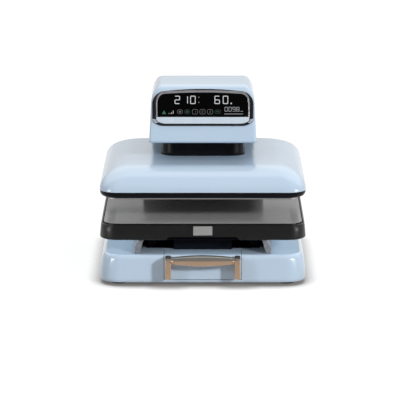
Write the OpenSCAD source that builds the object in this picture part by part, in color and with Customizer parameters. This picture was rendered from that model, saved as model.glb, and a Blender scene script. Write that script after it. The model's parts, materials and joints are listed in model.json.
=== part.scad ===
// Automatic heat press. A base carries a pull-out lower tray; a rear column carries a
// fixed display head, and a screw in the head drives the heated dome down onto the tray.
// Millimetres: +X right, -Y front, +Z up, origin on the floor under the middle.

/* [Heat plate and dome] */
// Width of the heated plate
plate_w = 380; // [360:5:400]
// Depth of the heated plate
plate_d = 380; // [360:5:400]
// Thickness of the heated plate
plate_t = 14; // [10:1:18]
// Corner radius of the heated plate
plate_r = 12; // [6:1:20]
// Overhang of the dome past the plate at each side
dome_over_x = 22; // [18:1:28]
// Overhang of the dome past the plate at the front and the back
dome_over_y = 19; // [18:1:28]
// Height of the dome shell
dome_h = 47; // [42:1:60]
// Radius of the dome's rounded top edge
dome_edge_r = 64; // [50:1:70]
// Corner radius of the dome seen from above
dome_corner_r = 38; // [30:1:44]
// Wall of the dome shell
dome_wall = 3; // [2:0.5:4]
// Height of the black rim under the dome
rim_h = 13; // [9:0.5:14]
// How far the rim's foot is drawn in from the dome's edge
rim_draw = 9; // [6:0.5:10]
// How far the plate stands below the rim
plate_drop = 5; // [5:0.5:9]

/* [Press travel] */
// Opening between the pad and the heated plate
press_gap = 48; // [40:1:50]

/* [Lower tray] */
// Height of the tray
tray_h = 31; // [27:1:36]
// Set-back of the tray's front behind the dome's front
tray_back_set = 4; // [2:1:8]
// Corner radius of the tray seen from above
tray_corner_r = 38; // [30:1:44]
// Wall of the tray
tray_wall = 4; // [3:0.5:5]
// Thickness of the silicone pad
pad_t = 6; // [4:0.5:8]
// Thickness of the lower plate under the pad
lower_plate_t = 3; // [2:0.5:4]
// Edge of the tray left round the pad
pad_edge = 4; // [3:0.5:8]
// How far the pad stands above the tray
pad_proud = 3.5; // [2:0.5:4]
// Half width of the notch in the tray's front edge, at its foot
notch_half = 76.5; // [60:0.5:90]
// Height of that notch
notch_h = 6.6; // [4:0.2:9]
// Width of the bare metal plate on the tray's front
badge_w = 39; // [30:1:50]
// Height of the bare metal plate
badge_h = 18.5; // [14:0.5:20]
// Height of the tray above the deck
tray_lift = 30; // [28:1:36]

/* [Base] */
// Height of the feet
foot_h = 8; // [6:1:12]
// Diameter of the feet
foot_d = 34; // [26:1:40]
// Height of the base shell
base_h = 58; // [54:1:66]
// Corner radius of the base seen from above
base_corner_r = 42; // [36:1:50]
// Wall of the base shell
base_wall = 3; // [2.5:0.5:4]
// Depth of the ledge in front of the deck opening
ledge_d = 67; // [64:1:80]
// Thickness of the base pan
pan_t = 2; // [1.5:0.5:3]

/* [Handle] */
// How far the handle stands out from the base
handle_reach = 40; // [36:1:50]
// Distance between the middles of the handle posts
handle_span = 142; // [130:1:146]
// How far the drawer front runs on past the middle of a handle post
drawer_side = 9; // [8:0.5:14]
// Width of a handle post
post_w = 12; // [10:0.5:14]
// Height of a handle post
post_h = 46; // [40:1:48]
// Diameter of the handle bar at its middle
bar_d = 23.5; // [18:0.5:26]
// Diameter of the handle bar at its ends
bar_end_d = 14; // [10:0.5:16]

/* [Drawer slides] */
// Height of the slide's outer member
slide_h = 22; // [20:0.5:23]
// Sheet thickness of the slide members
slide_t = 1.8; // [1.5:0.1:2.2]

/* [Column] */
// Depth of the column
column_d = 68; // [64:1:90]
// Width of the column's lower part
column_w = 264; // [240:2:272]
// Wall of the column covers
column_wall = 3; // [2.5:0.5:4]
// Number of vent slots in the column's back
vent_count = 7; // [3:1:7]

/* [Head] */
// Width of the head at its foot
head_w = 223; // [214:1:240]
// Height of the head
head_h = 121; // [119:1:134]
// Gap between the dome and the head, where the neck shows
neck_show = 37; // [34:0.5:46]
// Wall of the head shell
head_wall = 3; // [2.5:0.5:4]
// Distance from the press axis forward to the head's front foot
head_front = 112; // [106:1:130]
// Backward lean of the display panel, degrees
panel_tilt = 8; // [4:1:10]
// Downward slope of the arm behind the head, degrees
arm_slope = 12; // [10:1:13]

/* [Display] */
// Edge of the head left at each side of the bezel
bezel_edge = 6.5; // [6:0.5:10]
// Height of the display bezel
bezel_h = 77.3; // [74:0.1:78]
// Width of the bezel at each side of its opening
bezel_side = 8.5; // [8:0.5:14]
// Height of the display glass
glass_h = 51; // [42:0.5:52]
// Height of the key strip
key_h = 14; // [12:0.5:17]
// Travel of a key
key_travel = 1; // [0.6:0.1:1.2]

/* [Neck] */
// How far the neck sleeve sits in from the head's side
neck_in = 25.5; // [22:0.5:27]
// Depth of the neck sleeve
neck_d = 104; // [98:1:110]
// Corner radius of the neck sleeve
neck_r = 28; // [22:1:32]
// Wall of the neck sleeve
neck_wall = 2.5; // [2:0.5:3]
// Flare of the flange at the foot of the neck
neck_flare = 2.5; // [1:0.5:4]

/* [Drive] */
// Diameter of the lead screw
screw_d = 14; // [12:1:16]
// Diameter of the guide rods
rod_d = 16; // [12:1:18]
// Thickness of the drive plate
drive_t = 8; // [6:1:9]
// Thickness of the frame plates
frame_t = 6; // [4:0.5:7]

/* [Hidden] */
$fn = 48;
// Facets in a quarter of a rounded corner
arc_n = 6;
// Overlap that makes a cut run clear through a face
cut = 1;
// Clearances: panel seams, sliding pieces, turning fits, loose holes
seam = 0.8;
slide_gap = 0.4;
fit = 0.05;
loose = 0.5;

// Heights, from the floor up
pan_top = foot_h + pan_t;
deck_z = foot_h + base_h;
deck_under = deck_z - base_wall;
tray_z = deck_z + tray_lift;
tray_top = tray_z + tray_h;
pad_top = tray_top + pad_proud;
pad_z = pad_top - pad_t;
pad_seat = pad_z - lower_plate_t;
plate_z = pad_top + press_gap;
plate_top = plate_z + plate_t;
rim_z = plate_z + plate_drop;
dome_z = rim_z + rim_h;
dome_top = dome_z + dome_h;
head_z = dome_top + neck_show;
head_top = head_z + head_h;

// Widths and depths, all from the heated plate
dome_w = plate_w + 2 * dome_over_x;
dome_d = plate_d + 2 * dome_over_y;
base_w = dome_w;
tray_w = dome_w;
column_gap = 4;
base_d = dome_d + column_gap + column_d;
inlet_lip = 3;
front_y = handle_reach - (handle_reach + base_d + inlet_lip) / 2;
back_y = front_y + base_d;
press_y = front_y + dome_d / 2;
column_y = back_y - column_d;

// Base details
base_side_a = 12;
base_side_low = 12;
base_side_b = base_h - base_side_low;
base_front_a = 7;
base_front_b = 11;
base_foot_a = 3.5;
base_foot_b = 8;
sill_h = 6;
sill_z = foot_h + sill_h;
ledge_back = 8;
block_d = ledge_d - ledge_back;
drawer_w = handle_span + 2 * drawer_side;
deck_half = 118;
deck_open_y = front_y + ledge_d;
bed_half = 137;
bed_t = 4;
bed_web = 8;
bed_lap = 3;
bed_end = 14;
bed_y = deck_open_y - bed_lap;
bed_back = back_y - bed_end;
pan_gap = 0.6;
boss_d = 12;
screw_shank = 4;
screw_head_d = 8;
screw_head_h = 2.4;
base_screw_len = 12;
cover_screw_len = 10;
cover_screw_in = 24;
foot_in = 39;
foot_x = base_w / 2 - foot_in;
foot_y = [front_y + foot_in, back_y - foot_in];
boss_in = 20;
boss_end = 60;
boss_mid = 110;
boss_x = base_w / 2 - boss_in;
boss_y = [front_y + boss_end, press_y + boss_mid, back_y - boss_end];

// Tray details
tray_y = front_y + tray_back_set;
tray_rear = 4;
tray_d = dome_d - tray_back_set - tray_rear;
tray_mid = tray_y + tray_d / 2;
tray_foot_r = 3.5;
tray_draft = 2.5;
pad_gap = 1.5;
tray_floor_t = 3.5;
tray_floor = pad_seat - tray_floor_t;
rib_pitch = 48;
rib_reach = 3 * rib_pitch;
rib_t = 6;
sled_t = 3;
sled_z = tray_z - sled_t;
sled_half = 121;
sled_front = 18;
sled_rear = 20;
sled_y = tray_y + sled_front;
sled_back = tray_y + tray_d - sled_rear;
leg_in = 20;
leg_half = drawer_w / 2 - leg_in;
leg_t = 3;
leg_foot = 18;
leg_y = front_y + block_d - base_wall - leg_t;
leg_z = deck_under - leg_t;
bracket_top = [122.5, 131.5];
bracket_foot = [130, 140];
bracket_set = 12;
bracket_y = front_y + bracket_set;
bracket_heel = 12;

// Slide details: outer, middle and inner members nest with a gap between them
slide_side = 4;
slide_y = deck_open_y + slide_side;
slide_x = deck_half - slide_side;
slide_w = 13;
slide_end = 21;
slide_len = dome_d - ledge_d - slide_end;
slide_top = 2;
slide_z = sled_z - slide_top - slide_h;

// Handle details
post_short = 5;
post_d = handle_reach - post_short;
post_z = deck_z - post_h;
bar_y = front_y - handle_reach + bar_d / 2;
bar_drop = 5.5;
bar_z = deck_z - bar_drop;
post_round = 12;
post_ease = 4;
handle_screw_len = 12;

// Column details: the lower part is wider, with sloping shoulders
shoulder_rise = 9;
shoulder_drop = 11;
shoulder_low = dome_z + shoulder_rise;
shoulder_high = dome_top - shoulder_drop;
column_corner_r = 24;
vent_w = 70;
vent_h = 4;
vent_pitch = 12;
vent_drop = 8;
vent_z = shoulder_low - vent_drop;

// Head outline
head_draft = 3.5;
head_top_w = head_w - 2 * head_draft;
head_edge_a = 22;
head_edge_b = 40;
head_foot_r = 7;
head_brow_r = 5;
head_fall = 2;
head_front_y = press_y - head_front;
chin_y = head_front_y + head_foot_r * (tan(panel_tilt) + 1 / cos(panel_tilt));
arm_break = 16;
arm_break_y = press_y + arm_break;
arm_bend_r = 80;
arm_pivot_y = arm_break_y + arm_bend_r * tan(arm_slope / 2);
arm_back_r = 45;

// Display panel, measured along the leaning front from the head's foot
bezel_low = 37.8;
bezel_w = head_w - 2 * bezel_edge;
bezel_mid = bezel_low + bezel_h / 2;
bezel_t = 3;
bezel_top_r = 27;
bezel_low_r = 14;
bezel_foot = 3.1;
window_w = bezel_w - 2 * bezel_side;
window_low = bezel_low + bezel_foot;
window_h = key_h + seam / 2 + glass_h;
window_top_r = 17;
window_low_r = 8;
glass_low = window_low + key_h + seam / 2;
glass_front = 1.8;
switch_h = 0.5;
key_front = 2.2;
key_play = 0.3;
key_back = switch_h - head_wall + key_travel + key_play;
key_count = 5;
key_pitch = window_w / key_count;
board_t = 1.6;
board_lap = 5;
board_gap = 0.2;
switch_d = 6;

// Dome: upright skirt below the rounded edge
dome_skirt = 1;
rim_gap = 2;

// Neck and drive train
neck_w = head_w - 2 * neck_in;
neck_gap = 1.5;
drive_drop = 54;
drive_z = head_top - drive_drop;
sleeve_gap = 6;
sleeve_top = drive_z - sleeve_gap;
flange_h = 6;
opening_lip = 6;
guide_h = 40;
guide_r = 10;
guide_z = drive_z - guide_h;
guide_in = [14, 16];
guide_half = [neck_w / 2 - guide_in[0], neck_d / 2 - guide_in[1]];
bush_wall = 4;
bush_flange = 3;
bush_flange_h = 3;
bush_edge = 7;
rod_span = 2 * (guide_half[0] - bush_edge - bush_flange - bush_wall) - rod_d;
rod_drop = 15;
rod_top = head_top - rod_drop;
mount_t = 4;
heater_d = 8;
heater_legs = 8;
heater_lift = 0.1;
wool_t = 8;
wool_edge = 32;
heater_half = min(plate_w, plate_d) / 2 - wool_edge - 18;
wool_gap = 3;
mount_z = plate_top + heater_lift + heater_d + wool_t + wool_gap;
mount_top = mount_z + mount_t;
mount_edge = 18;
standoff_d = 12;
standoff_in = 18;
spacer_d = 14;
spacer_in = 24;
spacer_half = [dome_w / 2 - dome_edge_r - spacer_in, dome_d / 2 - dome_edge_r - spacer_in];
cutout_d = 20;
cutout_h = 10;
nut_gap = 7;
nut_top = guide_z - nut_gap;
nut_flange_h = 8;
nut_h = 28;
tower_top = nut_top - nut_flange_h;
tower_d = 40;
tower_clear = 5;
rod_clear = 10;
tower_bore = screw_d + 2 * tower_clear;
tower_flange_d = rod_span - rod_d - 2 * rod_clear;
tower_flange_h = 6;
screw_foot = 5;
screw_low = mount_top + screw_foot;
journal_step = 2;
journal_d = screw_d - 2 * journal_step;
journal_reach = 22;
journal_top = drive_z + drive_t + journal_reach;
bearing_wall = 8;
motor_flange_d = tower_flange_d;
motor_flange_w = 5;
motor_d = motor_flange_d - 2 * motor_flange_w;
motor_flange_h = 4;
motor_drop = 10;
motor_ease = 4;
motor_top = head_top - motor_drop;

// Frame plates inside the head and the column
bolt_room = 8;
frame_in = head_w / 2 - head_wall - bolt_room - frame_t;
frame_reach = 58;
frame_rise = 4;
frame_lift = 3;
frame_col = 9;
frame_in_back = 18;
frame_front_y = press_y - frame_reach;
frame_top = drive_z + drive_t + frame_rise;
arm_low = head_z + head_wall + frame_lift;
frame_col_y = column_y + frame_col;
frame_back_y = back_y - frame_in_back;
frame_room = 16;
frame_break_y = arm_pivot_y + (head_top - frame_room - frame_top) / tan(arm_slope);
frame_heel = 30;
frame_foot = 34;
frame_foot_t = 6;
brace_t = 8;
drive_reach = 140;
drive_back_y = press_y + drive_reach;
bolt_end = 14;
bolt_pitch = 44;
brace_lift = 8;
brace_bolt_pitch = 90;
foot_bolt_in = 10;
bolt_d = 5;
bolt_head_d = 9;
bolt_head_h = 4;
bolt_reach = 12;

// Electronics and the back panel
panel_rise = 36;
inlet_at = [-45, deck_z + panel_rise];
inlet_size = [48, 28];
inlet_body = [30, 22];
inlet_cavity = [24, 16];
inlet_depth = 22;
inlet_back = 4;
rocker_at = [10, deck_z + panel_rise];
rocker_size = [21, 30];
rocker_cut = [14, 22];
rocker_body_t = 2;
rocker_lip = 1.5;
rocker_depth = 20;
rocker_angle = 10;
rocker_swing = 2.5;
rocker_pin_d = 3;
control_size = [130, 90];
control_rise = 90;
control_z = deck_z + control_rise;
power_size = [48, 150];
board_lift = 5;
board_post_d = 6;
transformer_h = 28;

blue = [0.70, 0.80, 0.90];
black = [0.12, 0.12, 0.13];
steel = [0.62, 0.64, 0.66];
dark_steel = [0.25, 0.26, 0.28];
copper = [0.72, 0.55, 0.44];
board_green = [0.10, 0.35, 0.22];
rubber = [0.08, 0.08, 0.08];
aluminium = [0.76, 0.77, 0.78];

// Points of an elliptical arc from angle a0 to a1
function arc(cx, cy, rx, ry, a0, a1, n = arc_n) =
    [for (i = [0 : n]) let (a = a0 + (a1 - a0) * i / n) [cx + rx * cos(a), cy + ry * sin(a)]];

// Rounded rectangle about the origin, with its own radius at the top and at the foot
function rounded2(hx, hy, r_top, r_low) = concat(
    arc(hx - r_top, hy - r_top, r_top, r_top, 0, 90),
    arc(r_top - hx, hy - r_top, r_top, r_top, 90, 180),
    arc(r_low - hx, r_low - hy, r_low, r_low, 180, 270),
    arc(hx - r_low, r_low - hy, r_low, r_low, 270, 360));
function rounded(hx, hy, r) = rounded2(hx, hy, r, r);

// A rounded-rectangle ring of points at height z
function ring(hx, hy, r, z) = [for (p = rounded(hx, hy, r)) [p[0], p[1], z]];

// Upright slab with rounded corners
module slab(hx, hy, r, z0, z1) {
    translate([0, 0, z0])
        linear_extrude(z1 - z0)
            polygon(rounded(hx, hy, r));
}

// Profile drawn in X and Z, run along Y
module along_y(y0, y1) {
    translate([0, y1, 0])
        rotate([90, 0, 0])
            linear_extrude(y1 - y0)
                children();
}

// Profile drawn in Y and Z, run along X
module along_x(x0, x1) {
    translate([x0, 0, 0])
        rotate([90, 0, 90])
            linear_extrude(x1 - x0)
                children();
}

// A box given by its two corners
module box(low, high) {
    translate(low)
        cube(high - low);
}

// The same piece on the right and, mirrored, on the left
module both_sides() {
    children();
    mirror([1, 0, 0])
        children();
}

// Copies at the corners of a rectangle
module at_corners(x, ys) {
    for (sx = [-1, 1], y = ys)
        translate([sx * x, y, 0])
            children();
}

// A closed skin through rings of equal count, the last joined to the first
module ring_skin(rings) {
    m = len(rings);
    k = len(rings[0]);
    points = [for (each_ring = rings) each each_ring];
    faces = [
        for (i = [0 : m - 1], j = [0 : k - 1])
            let (a = i * k + j, b = i * k + (j + 1) % k)
            let (c = ((i + 1) % m) * k + (j + 1) % k, d = ((i + 1) % m) * k + j)
            each [[a, c, b], [a, d, c]]];
    polyhedron(points = points, faces = faces);
}

// Pan-head screw pointing up from z = 0, its head below
module screw_up(length) {
    cylinder(d = screw_shank, h = length);
    translate([0, 0, -screw_head_h])
        cylinder(d = screw_head_d, h = screw_head_h);
}

// Local frame of the leaning display panel: x across, y up the panel, z outward
module on_panel() {
    translate([0, head_front_y, head_z])
        rotate([90 - panel_tilt, 0, 0])
            children();
}

// Base

// Side and front outlines of the base, drawn in from the outside by w; its foot is rounded,
// and the wall behind that rounding is thicker
function base_outline(half, w, a, b) =
    let (round_z = foot_h + base_foot_b)
    let (in = half - w - base_foot_a)
    let (foot = w > 0
        ? [[w - half, round_z + base_foot_a], [-in, round_z], [-in, foot_h - cut],
           [in, foot_h - cut], [in, round_z], [half - w, round_z + base_foot_a]]
        : concat(arc(base_foot_a - half, round_z, base_foot_a, base_foot_b, 180, 270),
                 arc(half - base_foot_a, round_z, base_foot_a, base_foot_b, 270, 360)))
    concat(
        foot,
        arc(half - a, deck_z - b, a - w / 2, b - w, 0, 90),
        arc(a - half, deck_z - b, a - w / 2, b - w, 90, 180));

module base_body(w) {
    mid = (front_y + back_y) / 2;
    intersection() {
        translate([0, mid, 0])
            slab(base_w / 2 - w, base_d / 2 - w, base_corner_r - w, foot_h - cut, deck_z + cut);
        along_y(front_y - cut, back_y + cut)
            polygon(base_outline(base_w / 2, w, base_side_a, base_side_b));
        translate([0, mid, 0])
            along_x(-base_w, base_w)
                polygon(base_outline(base_d / 2, w, base_front_a, base_front_b));
    }
}

module drawer_notch(grow, low) {
    half = drawer_w / 2 + grow;
    box([-half, front_y - cut, low], [half, front_y + block_d + seam + grow, deck_z + cut]);
}

module base_shell() {
    color(blue)
        difference() {
            union() {
                difference() {
                    base_body(0);
                    difference() {
                        base_body(base_wall);
                        drawer_notch(base_wall, foot_h - 2 * cut);
                    }
                }
                at_corners(boss_x, boss_y)
                    translate([0, 0, pan_top])
                        cylinder(d = boss_d, h = deck_under - pan_top + cut);
            }
            drawer_notch(0, sill_z);
            box([-drawer_w / 2 - base_wall - cut, front_y + base_wall + base_foot_a, foot_h - 2 * cut],
                [drawer_w / 2 + base_wall + cut, front_y + block_d + seam + base_wall + cut, pan_top]);
            box([-deck_half, deck_open_y, deck_under - cut], [deck_half, bed_back, deck_z + cut]);
            at_corners(boss_x, boss_y)
                translate([0, 0, pan_top - cut])
                    cylinder(d = screw_shank + 2 * fit, h = base_screw_len + 2 * cut);
        }
}

module base_pan() {
    half = base_w / 2 - base_wall - base_foot_a - pan_gap;
    half_d = base_d / 2 - base_wall - base_foot_a - pan_gap;
    color(dark_steel)
        difference() {
            translate([0, (front_y + back_y) / 2, 0])
                slab(half, half_d, base_corner_r - base_wall - base_foot_a, foot_h, pan_top);
            at_corners(boss_x, boss_y)
                translate([0, 0, foot_h - cut])
                    cylinder(d = screw_shank + loose, h = pan_t + 2 * cut);
            at_corners(foot_x, foot_y)
                translate([0, 0, foot_h - cut])
                    cylinder(d = screw_shank + loose, h = pan_t + 2 * cut);
        }
}

module rubber_feet() {
    recess = screw_head_d + 4;
    color(rubber)
        at_corners(foot_x, foot_y)
            difference() {
                rotate_extrude()
                    polygon([[0, 0], [foot_d / 2 - 3, 0], [foot_d / 2 - 1, 1.5], [foot_d / 2, foot_h],
                             [0, foot_h]]);
                translate([0, 0, -cut])
                    cylinder(d = recess, h = foot_h / 2 + cut);
                cylinder(d = screw_shank + loose, h = foot_h + cut);
            }
}

module base_screws() {
    color(steel) {
        at_corners(boss_x, boss_y)
            translate([0, 0, foot_h])
                screw_up(base_screw_len);
        at_corners(foot_x, foot_y)
            translate([0, 0, foot_h / 2])
                screw_up(foot_h / 2 + 2 * pan_t);
    }
}

module bed_channel() {
    outline = [[-bed_half, pan_top], [bed_web - bed_half, pan_top], [bed_web - bed_half, deck_under - bed_t],
               [bed_half - bed_web, deck_under - bed_t], [bed_half - bed_web, pan_top], [bed_half, pan_top],
               [bed_half, deck_under], [-bed_half, deck_under]];
    color(black)
        difference() {
            along_y(bed_y, bed_back)
                polygon(outline);
            frame_foot_holes(deck_under - bed_t - cut, bed_t + 2 * cut, bolt_d + loose);
        }
}

// Drawer, tray and handle

module drawer_front() {
    half = drawer_w / 2 - seam;
    low = sill_z + seam;
    back = front_y + block_d;
    color(blue)
        difference() {
            intersection() {
                base_body(0);
                box([-half, front_y - cut, low], [half, back, deck_z + cut]);
            }
            box([base_wall - half, front_y + base_wall, low - cut],
                [half - base_wall, back - base_wall, deck_under]);
            box([-leg_half - slide_gap, leg_y - slide_gap, deck_under - cut],
                [leg_half + slide_gap, leg_y + leg_t, deck_z + cut]);
            handle_screw_places()
                translate([0, 0, -cut])
                    cylinder(d = screw_shank + loose, h = base_wall + 2 * cut);
        }
}

// Screw axes of the handle posts, pointing out of the drawer front's inner face
module handle_screw_places() {
    for (sx = [-1, 1])
        translate([sx * handle_span / 2, front_y + base_wall, post_z + post_h / 2])
            rotate([90, 0, 0])
                children();
}

module handle_posts() {
    y0 = front_y - post_d;
    profile = concat([[front_y, post_z + post_ease], [front_y, deck_z - post_ease],
                      [front_y - post_ease, deck_z], [y0 + post_ease, deck_z], [y0, deck_z - post_ease]],
        arc(y0 + post_round, post_z + post_round, post_round, post_round, 180, 270));
    color(copper)
        difference() {
            for (sx = [-1, 1])
                along_x(sx * handle_span / 2 - post_w / 2, sx * handle_span / 2 + post_w / 2)
                    polygon(profile);
            handle_screw_places()
                translate([0, 0, base_wall - cut])
                    cylinder(d = screw_shank + 2 * fit, h = handle_screw_len + 2 * cut);
        }
}

module handle_bar() {
    half = handle_span / 2 - post_w / 2;
    n = 2 * arc_n;
    bow = [for (i = [-n : n]) [bar_end_d / 2 + (bar_d - bar_end_d) / 2 * (1 - pow(i / n, 2)), half * i / n]];
    color(copper)
        translate([0, bar_y, bar_z])
            rotate([0, 90, 0])
                rotate_extrude()
                    polygon(concat([[0, -half]], bow, [[0, half]]));
}

module handle_screws() {
    color(steel)
        handle_screw_places()
            screw_up(base_wall + handle_screw_len);
}

// Outline of the tray along X or Y: rounded foot, widest above it, drawn in to the top
function tray_outline(half) = concat(
    arc(tray_foot_r - half, tray_z + tray_foot_r, tray_foot_r, tray_foot_r, 180, 270),
    arc(half - tray_foot_r, tray_z + tray_foot_r, tray_foot_r, tray_foot_r, 270, 360),
    [[half - tray_draft, tray_top], [tray_draft - half, tray_top]]);

module tray_block() {
    intersection() {
        translate([0, tray_mid, 0])
            slab(tray_w / 2, tray_d / 2, tray_corner_r, tray_z, tray_top);
        along_y(tray_y - cut, tray_y + tray_d + cut)
            polygon(tray_outline(tray_w / 2));
        translate([0, tray_mid, 0])
            along_x(-tray_w, tray_w)
                polygon(tray_outline(tray_d / 2));
    }
}

module lower_tray() {
    in_x = tray_w / 2 - tray_foot_r - tray_wall;
    in_y = tray_d / 2 - tray_foot_r - tray_wall;
    seat_x = tray_w / 2 - tray_draft - pad_edge;
    seat_y = tray_d / 2 - tray_draft - pad_edge;
    color(black)
        difference() {
            tray_block();
            translate([0, tray_mid, 0])
                slab(seat_x, seat_y, tray_corner_r - tray_draft - pad_edge, pad_seat, tray_top + cut);
            difference() {
                translate([0, tray_mid, 0])
                    slab(in_x, in_y, tray_corner_r - tray_foot_r - tray_wall, tray_z - cut, tray_floor);
                for (x = [-rib_reach : rib_pitch : rib_reach])
                    translate([x - rib_t / 2, tray_y, tray_z - 2 * cut])
                        cube([rib_t, tray_d, tray_h]);
            }
            along_y(tray_y - cut, tray_y + tray_foot_r + tray_wall + cut)
                polygon([[-notch_half, tray_z - cut], [notch_half, tray_z - cut], [notch_half, tray_z],
                         [notch_half - notch_h, tray_z + notch_h], [notch_h - notch_half, tray_z + notch_h],
                         [-notch_half, tray_z]]);
        }
}

module lower_plate() {
    color(aluminium)
        translate([0, tray_mid, 0])
            slab(tray_w / 2 - tray_draft - pad_edge - pad_gap, tray_d / 2 - tray_draft - pad_edge - pad_gap,
                 tray_corner_r - tray_draft - pad_edge - pad_gap, pad_seat, pad_z);
}

module silicone_pad() {
    color([0.42, 0.42, 0.42])
        translate([0, tray_mid, 0])
            slab(tray_w / 2 - tray_draft - pad_edge - pad_gap, tray_d / 2 - tray_draft - pad_edge - pad_gap,
                 tray_corner_r - tray_draft - pad_edge - pad_gap, pad_z, pad_top);
}

module badge_plate() {
    badge_t = 1;
    face_h = tray_h - tray_foot_r;
    z1 = tray_top - 2;
    z0 = z1 - badge_h;
    y0 = tray_y + tray_draft * max(0, z0 - tray_z - tray_foot_r) / face_h;
    y1 = tray_y + tray_draft * (z1 - tray_z - tray_foot_r) / face_h;
    color(aluminium)
        along_x(-badge_w / 2, badge_w / 2)
            polygon([[y0, z0], [y1, z1], [y1 - badge_t, z1], [y0 - badge_t, z0]]);
}

module sled_plate() {
    color(dark_steel) {
        box([-sled_half, sled_y, sled_z], [sled_half, sled_back, tray_z]);
        box([-leg_half, leg_y, leg_z], [leg_half, leg_y + leg_t, tray_z]);
        box([-leg_half, leg_y - leg_foot, leg_z], [leg_half, leg_y + leg_t, deck_under]);
    }
}

// Cast bracket at the right: it leans out to its foot, with a thin running gap over the deck
module tray_bracket() {
    foot_z = deck_z + slide_gap;
    color(steel)
        along_y(bracket_y, sled_back)
            polygon([[bracket_foot[0], foot_z], [bracket_foot[1], foot_z],
                     [bracket_foot[1], foot_z + bracket_heel], [bracket_top[1], tray_z],
                     [sled_half, tray_z], [sled_half, sled_z], [bracket_top[0], sled_z]]);
}

module tray_bracket_right() {
    tray_bracket();
}

module tray_bracket_left() {
    mirror([1, 0, 0])
        tray_bracket();
}

// Channel section open towards the machine's middle, with its web at x = out
function channel(out, wide, low, high, t) = [
    [out, low], [out, high], [out - wide, high], [out - wide, high - t], [out - t, high - t],
    [out - t, low + t], [out - wide, low + t], [out - wide, low]];

module slide_outer_members() {
    // The channel stands on a foot that is fixed to the bed
    out = slide_x;
    color(steel)
        both_sides()
            along_y(slide_y, slide_y + slide_len) {
                polygon(channel(out, slide_w, slide_z, slide_z + slide_h, slide_t));
                polygon([[out - slide_t, deck_under], [out, deck_under], [out, slide_z + cut],
                         [out - slide_t, slide_z + cut]]);
                polygon([[out - slide_w, deck_under], [out, deck_under], [out, deck_under + slide_t],
                         [out - slide_w, deck_under + slide_t]]);
            }
}

module slide_middle_members() {
    step = slide_t + slide_gap;
    color(steel)
        both_sides()
            along_y(slide_y, slide_y + slide_len)
                polygon(channel(slide_x - step, slide_w - slide_t - slide_gap, slide_z + step,
                                slide_z + slide_h - step, slide_t));
}

module slide_inner_members() {
    step = 2 * (slide_t + slide_gap);
    out = slide_x - step;
    arm = slide_x - slide_w - slide_gap - slide_t;
    color(steel)
        both_sides()
            along_y(slide_y, slide_y + slide_len) {
                polygon([[arm, slide_z + step], [out, slide_z + step], [out, slide_z + slide_h - step],
                         [arm, slide_z + slide_h - step]]);
                polygon([[arm - slide_t, slide_z + step], [arm, slide_z + step], [arm, sled_z],
                         [arm - slide_t, sled_z]]);
            }
}

// Frame and drive

// Side outline of a frame plate: column at the back, arm towards the front
function frame_outline() =
    let (heel_y = frame_back_y - frame_heel)
    let (heel_z = frame_top - (heel_y - frame_break_y) * tan(arm_slope))
    [[frame_col_y, deck_under], [frame_back_y, deck_under], [frame_back_y, heel_z - frame_heel],
     [heel_y, heel_z], [frame_break_y, frame_top], [frame_front_y, frame_top],
     [frame_front_y, arm_low], [frame_col_y, arm_low]];

// Places of the side bolts: into the drive plate and into the brace
function frame_bolt_places() = concat(
    [for (y = [frame_front_y + bolt_end : bolt_pitch : drive_back_y - bolt_end]) [y, drive_z + drive_t / 2]],
    [for (z = [deck_z + 2 * bolt_end : brace_bolt_pitch : arm_low - bolt_end])
        [frame_col_y + brace_t / 2, z]]);

// Bolt axes at the right, pointing in through the frame plate
module frame_bolt_axes() {
    for (p = frame_bolt_places())
        translate([frame_in + frame_t, p[0], p[1]])
            rotate([0, -90, 0])
                children();
}

// Bolt holes of the frame plates' feet
module frame_foot_holes(z0, h, d) {
    for (sx = [-1, 1], y = [frame_col_y + foot_bolt_in, frame_back_y - foot_bolt_in])
        translate([sx * (frame_in - frame_foot / 2), y, z0])
            cylinder(d = d, h = h);
}

module frame_plate() {
    color(dark_steel)
        difference() {
            union() {
                along_x(frame_in, frame_in + frame_t)
                    polygon(frame_outline());
                box([frame_in - frame_foot, frame_col_y, deck_under],
                    [frame_in + cut, frame_back_y, deck_under + frame_foot_t]);
            }
            frame_bolt_axes()
                translate([0, 0, -cut])
                    cylinder(d = bolt_d + loose, h = frame_t + 2 * cut);
            frame_foot_holes(deck_under - cut, frame_foot_t + 2 * cut, bolt_d + loose);
        }
}

module frame_plate_right() {
    frame_plate();
}

module frame_plate_left() {
    mirror([1, 0, 0])
        frame_plate();
}

module column_brace() {
    color(dark_steel)
        difference() {
            box([-frame_in, frame_col_y, deck_z + brace_lift],
                [frame_in, frame_col_y + brace_t, arm_low]);
            both_sides()
                frame_bolt_axes()
                    cylinder(d = bolt_d + 2 * fit, h = frame_t + bolt_reach + 2 * cut);
        }
}

module drive_plate() {
    color(steel)
        difference() {
            box([-frame_in, frame_front_y, drive_z], [frame_in, drive_back_y, drive_z + drive_t]);
            translate([0, press_y, drive_z - cut])
                cylinder(d = journal_d + 2 * bearing_wall + 2 * fit, h = drive_t + 2 * cut);
            for (sx = [-1, 1])
                translate([sx * rod_span / 2, press_y, drive_z - cut])
                    cylinder(d = rod_d + 4 * loose, h = drive_t + 2 * cut);
            both_sides()
                frame_bolt_axes()
                    cylinder(d = bolt_d + 2 * fit, h = frame_t + bolt_reach + 2 * cut);
        }
}

module guide_block() {
    color(aluminium)
        translate([0, press_y, 0])
            difference() {
                slab(guide_half[0], guide_half[1], guide_r, guide_z, drive_z);
                translate([0, 0, guide_z - cut])
                    cylinder(d = screw_d + 8 * loose, h = guide_h + 2 * cut);
                for (sx = [-1, 1])
                    translate([sx * rod_span / 2, 0, guide_z - cut])
                        cylinder(d = rod_d + 2 * bush_wall + 2 * fit, h = guide_h + 2 * cut);
            }
}

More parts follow.
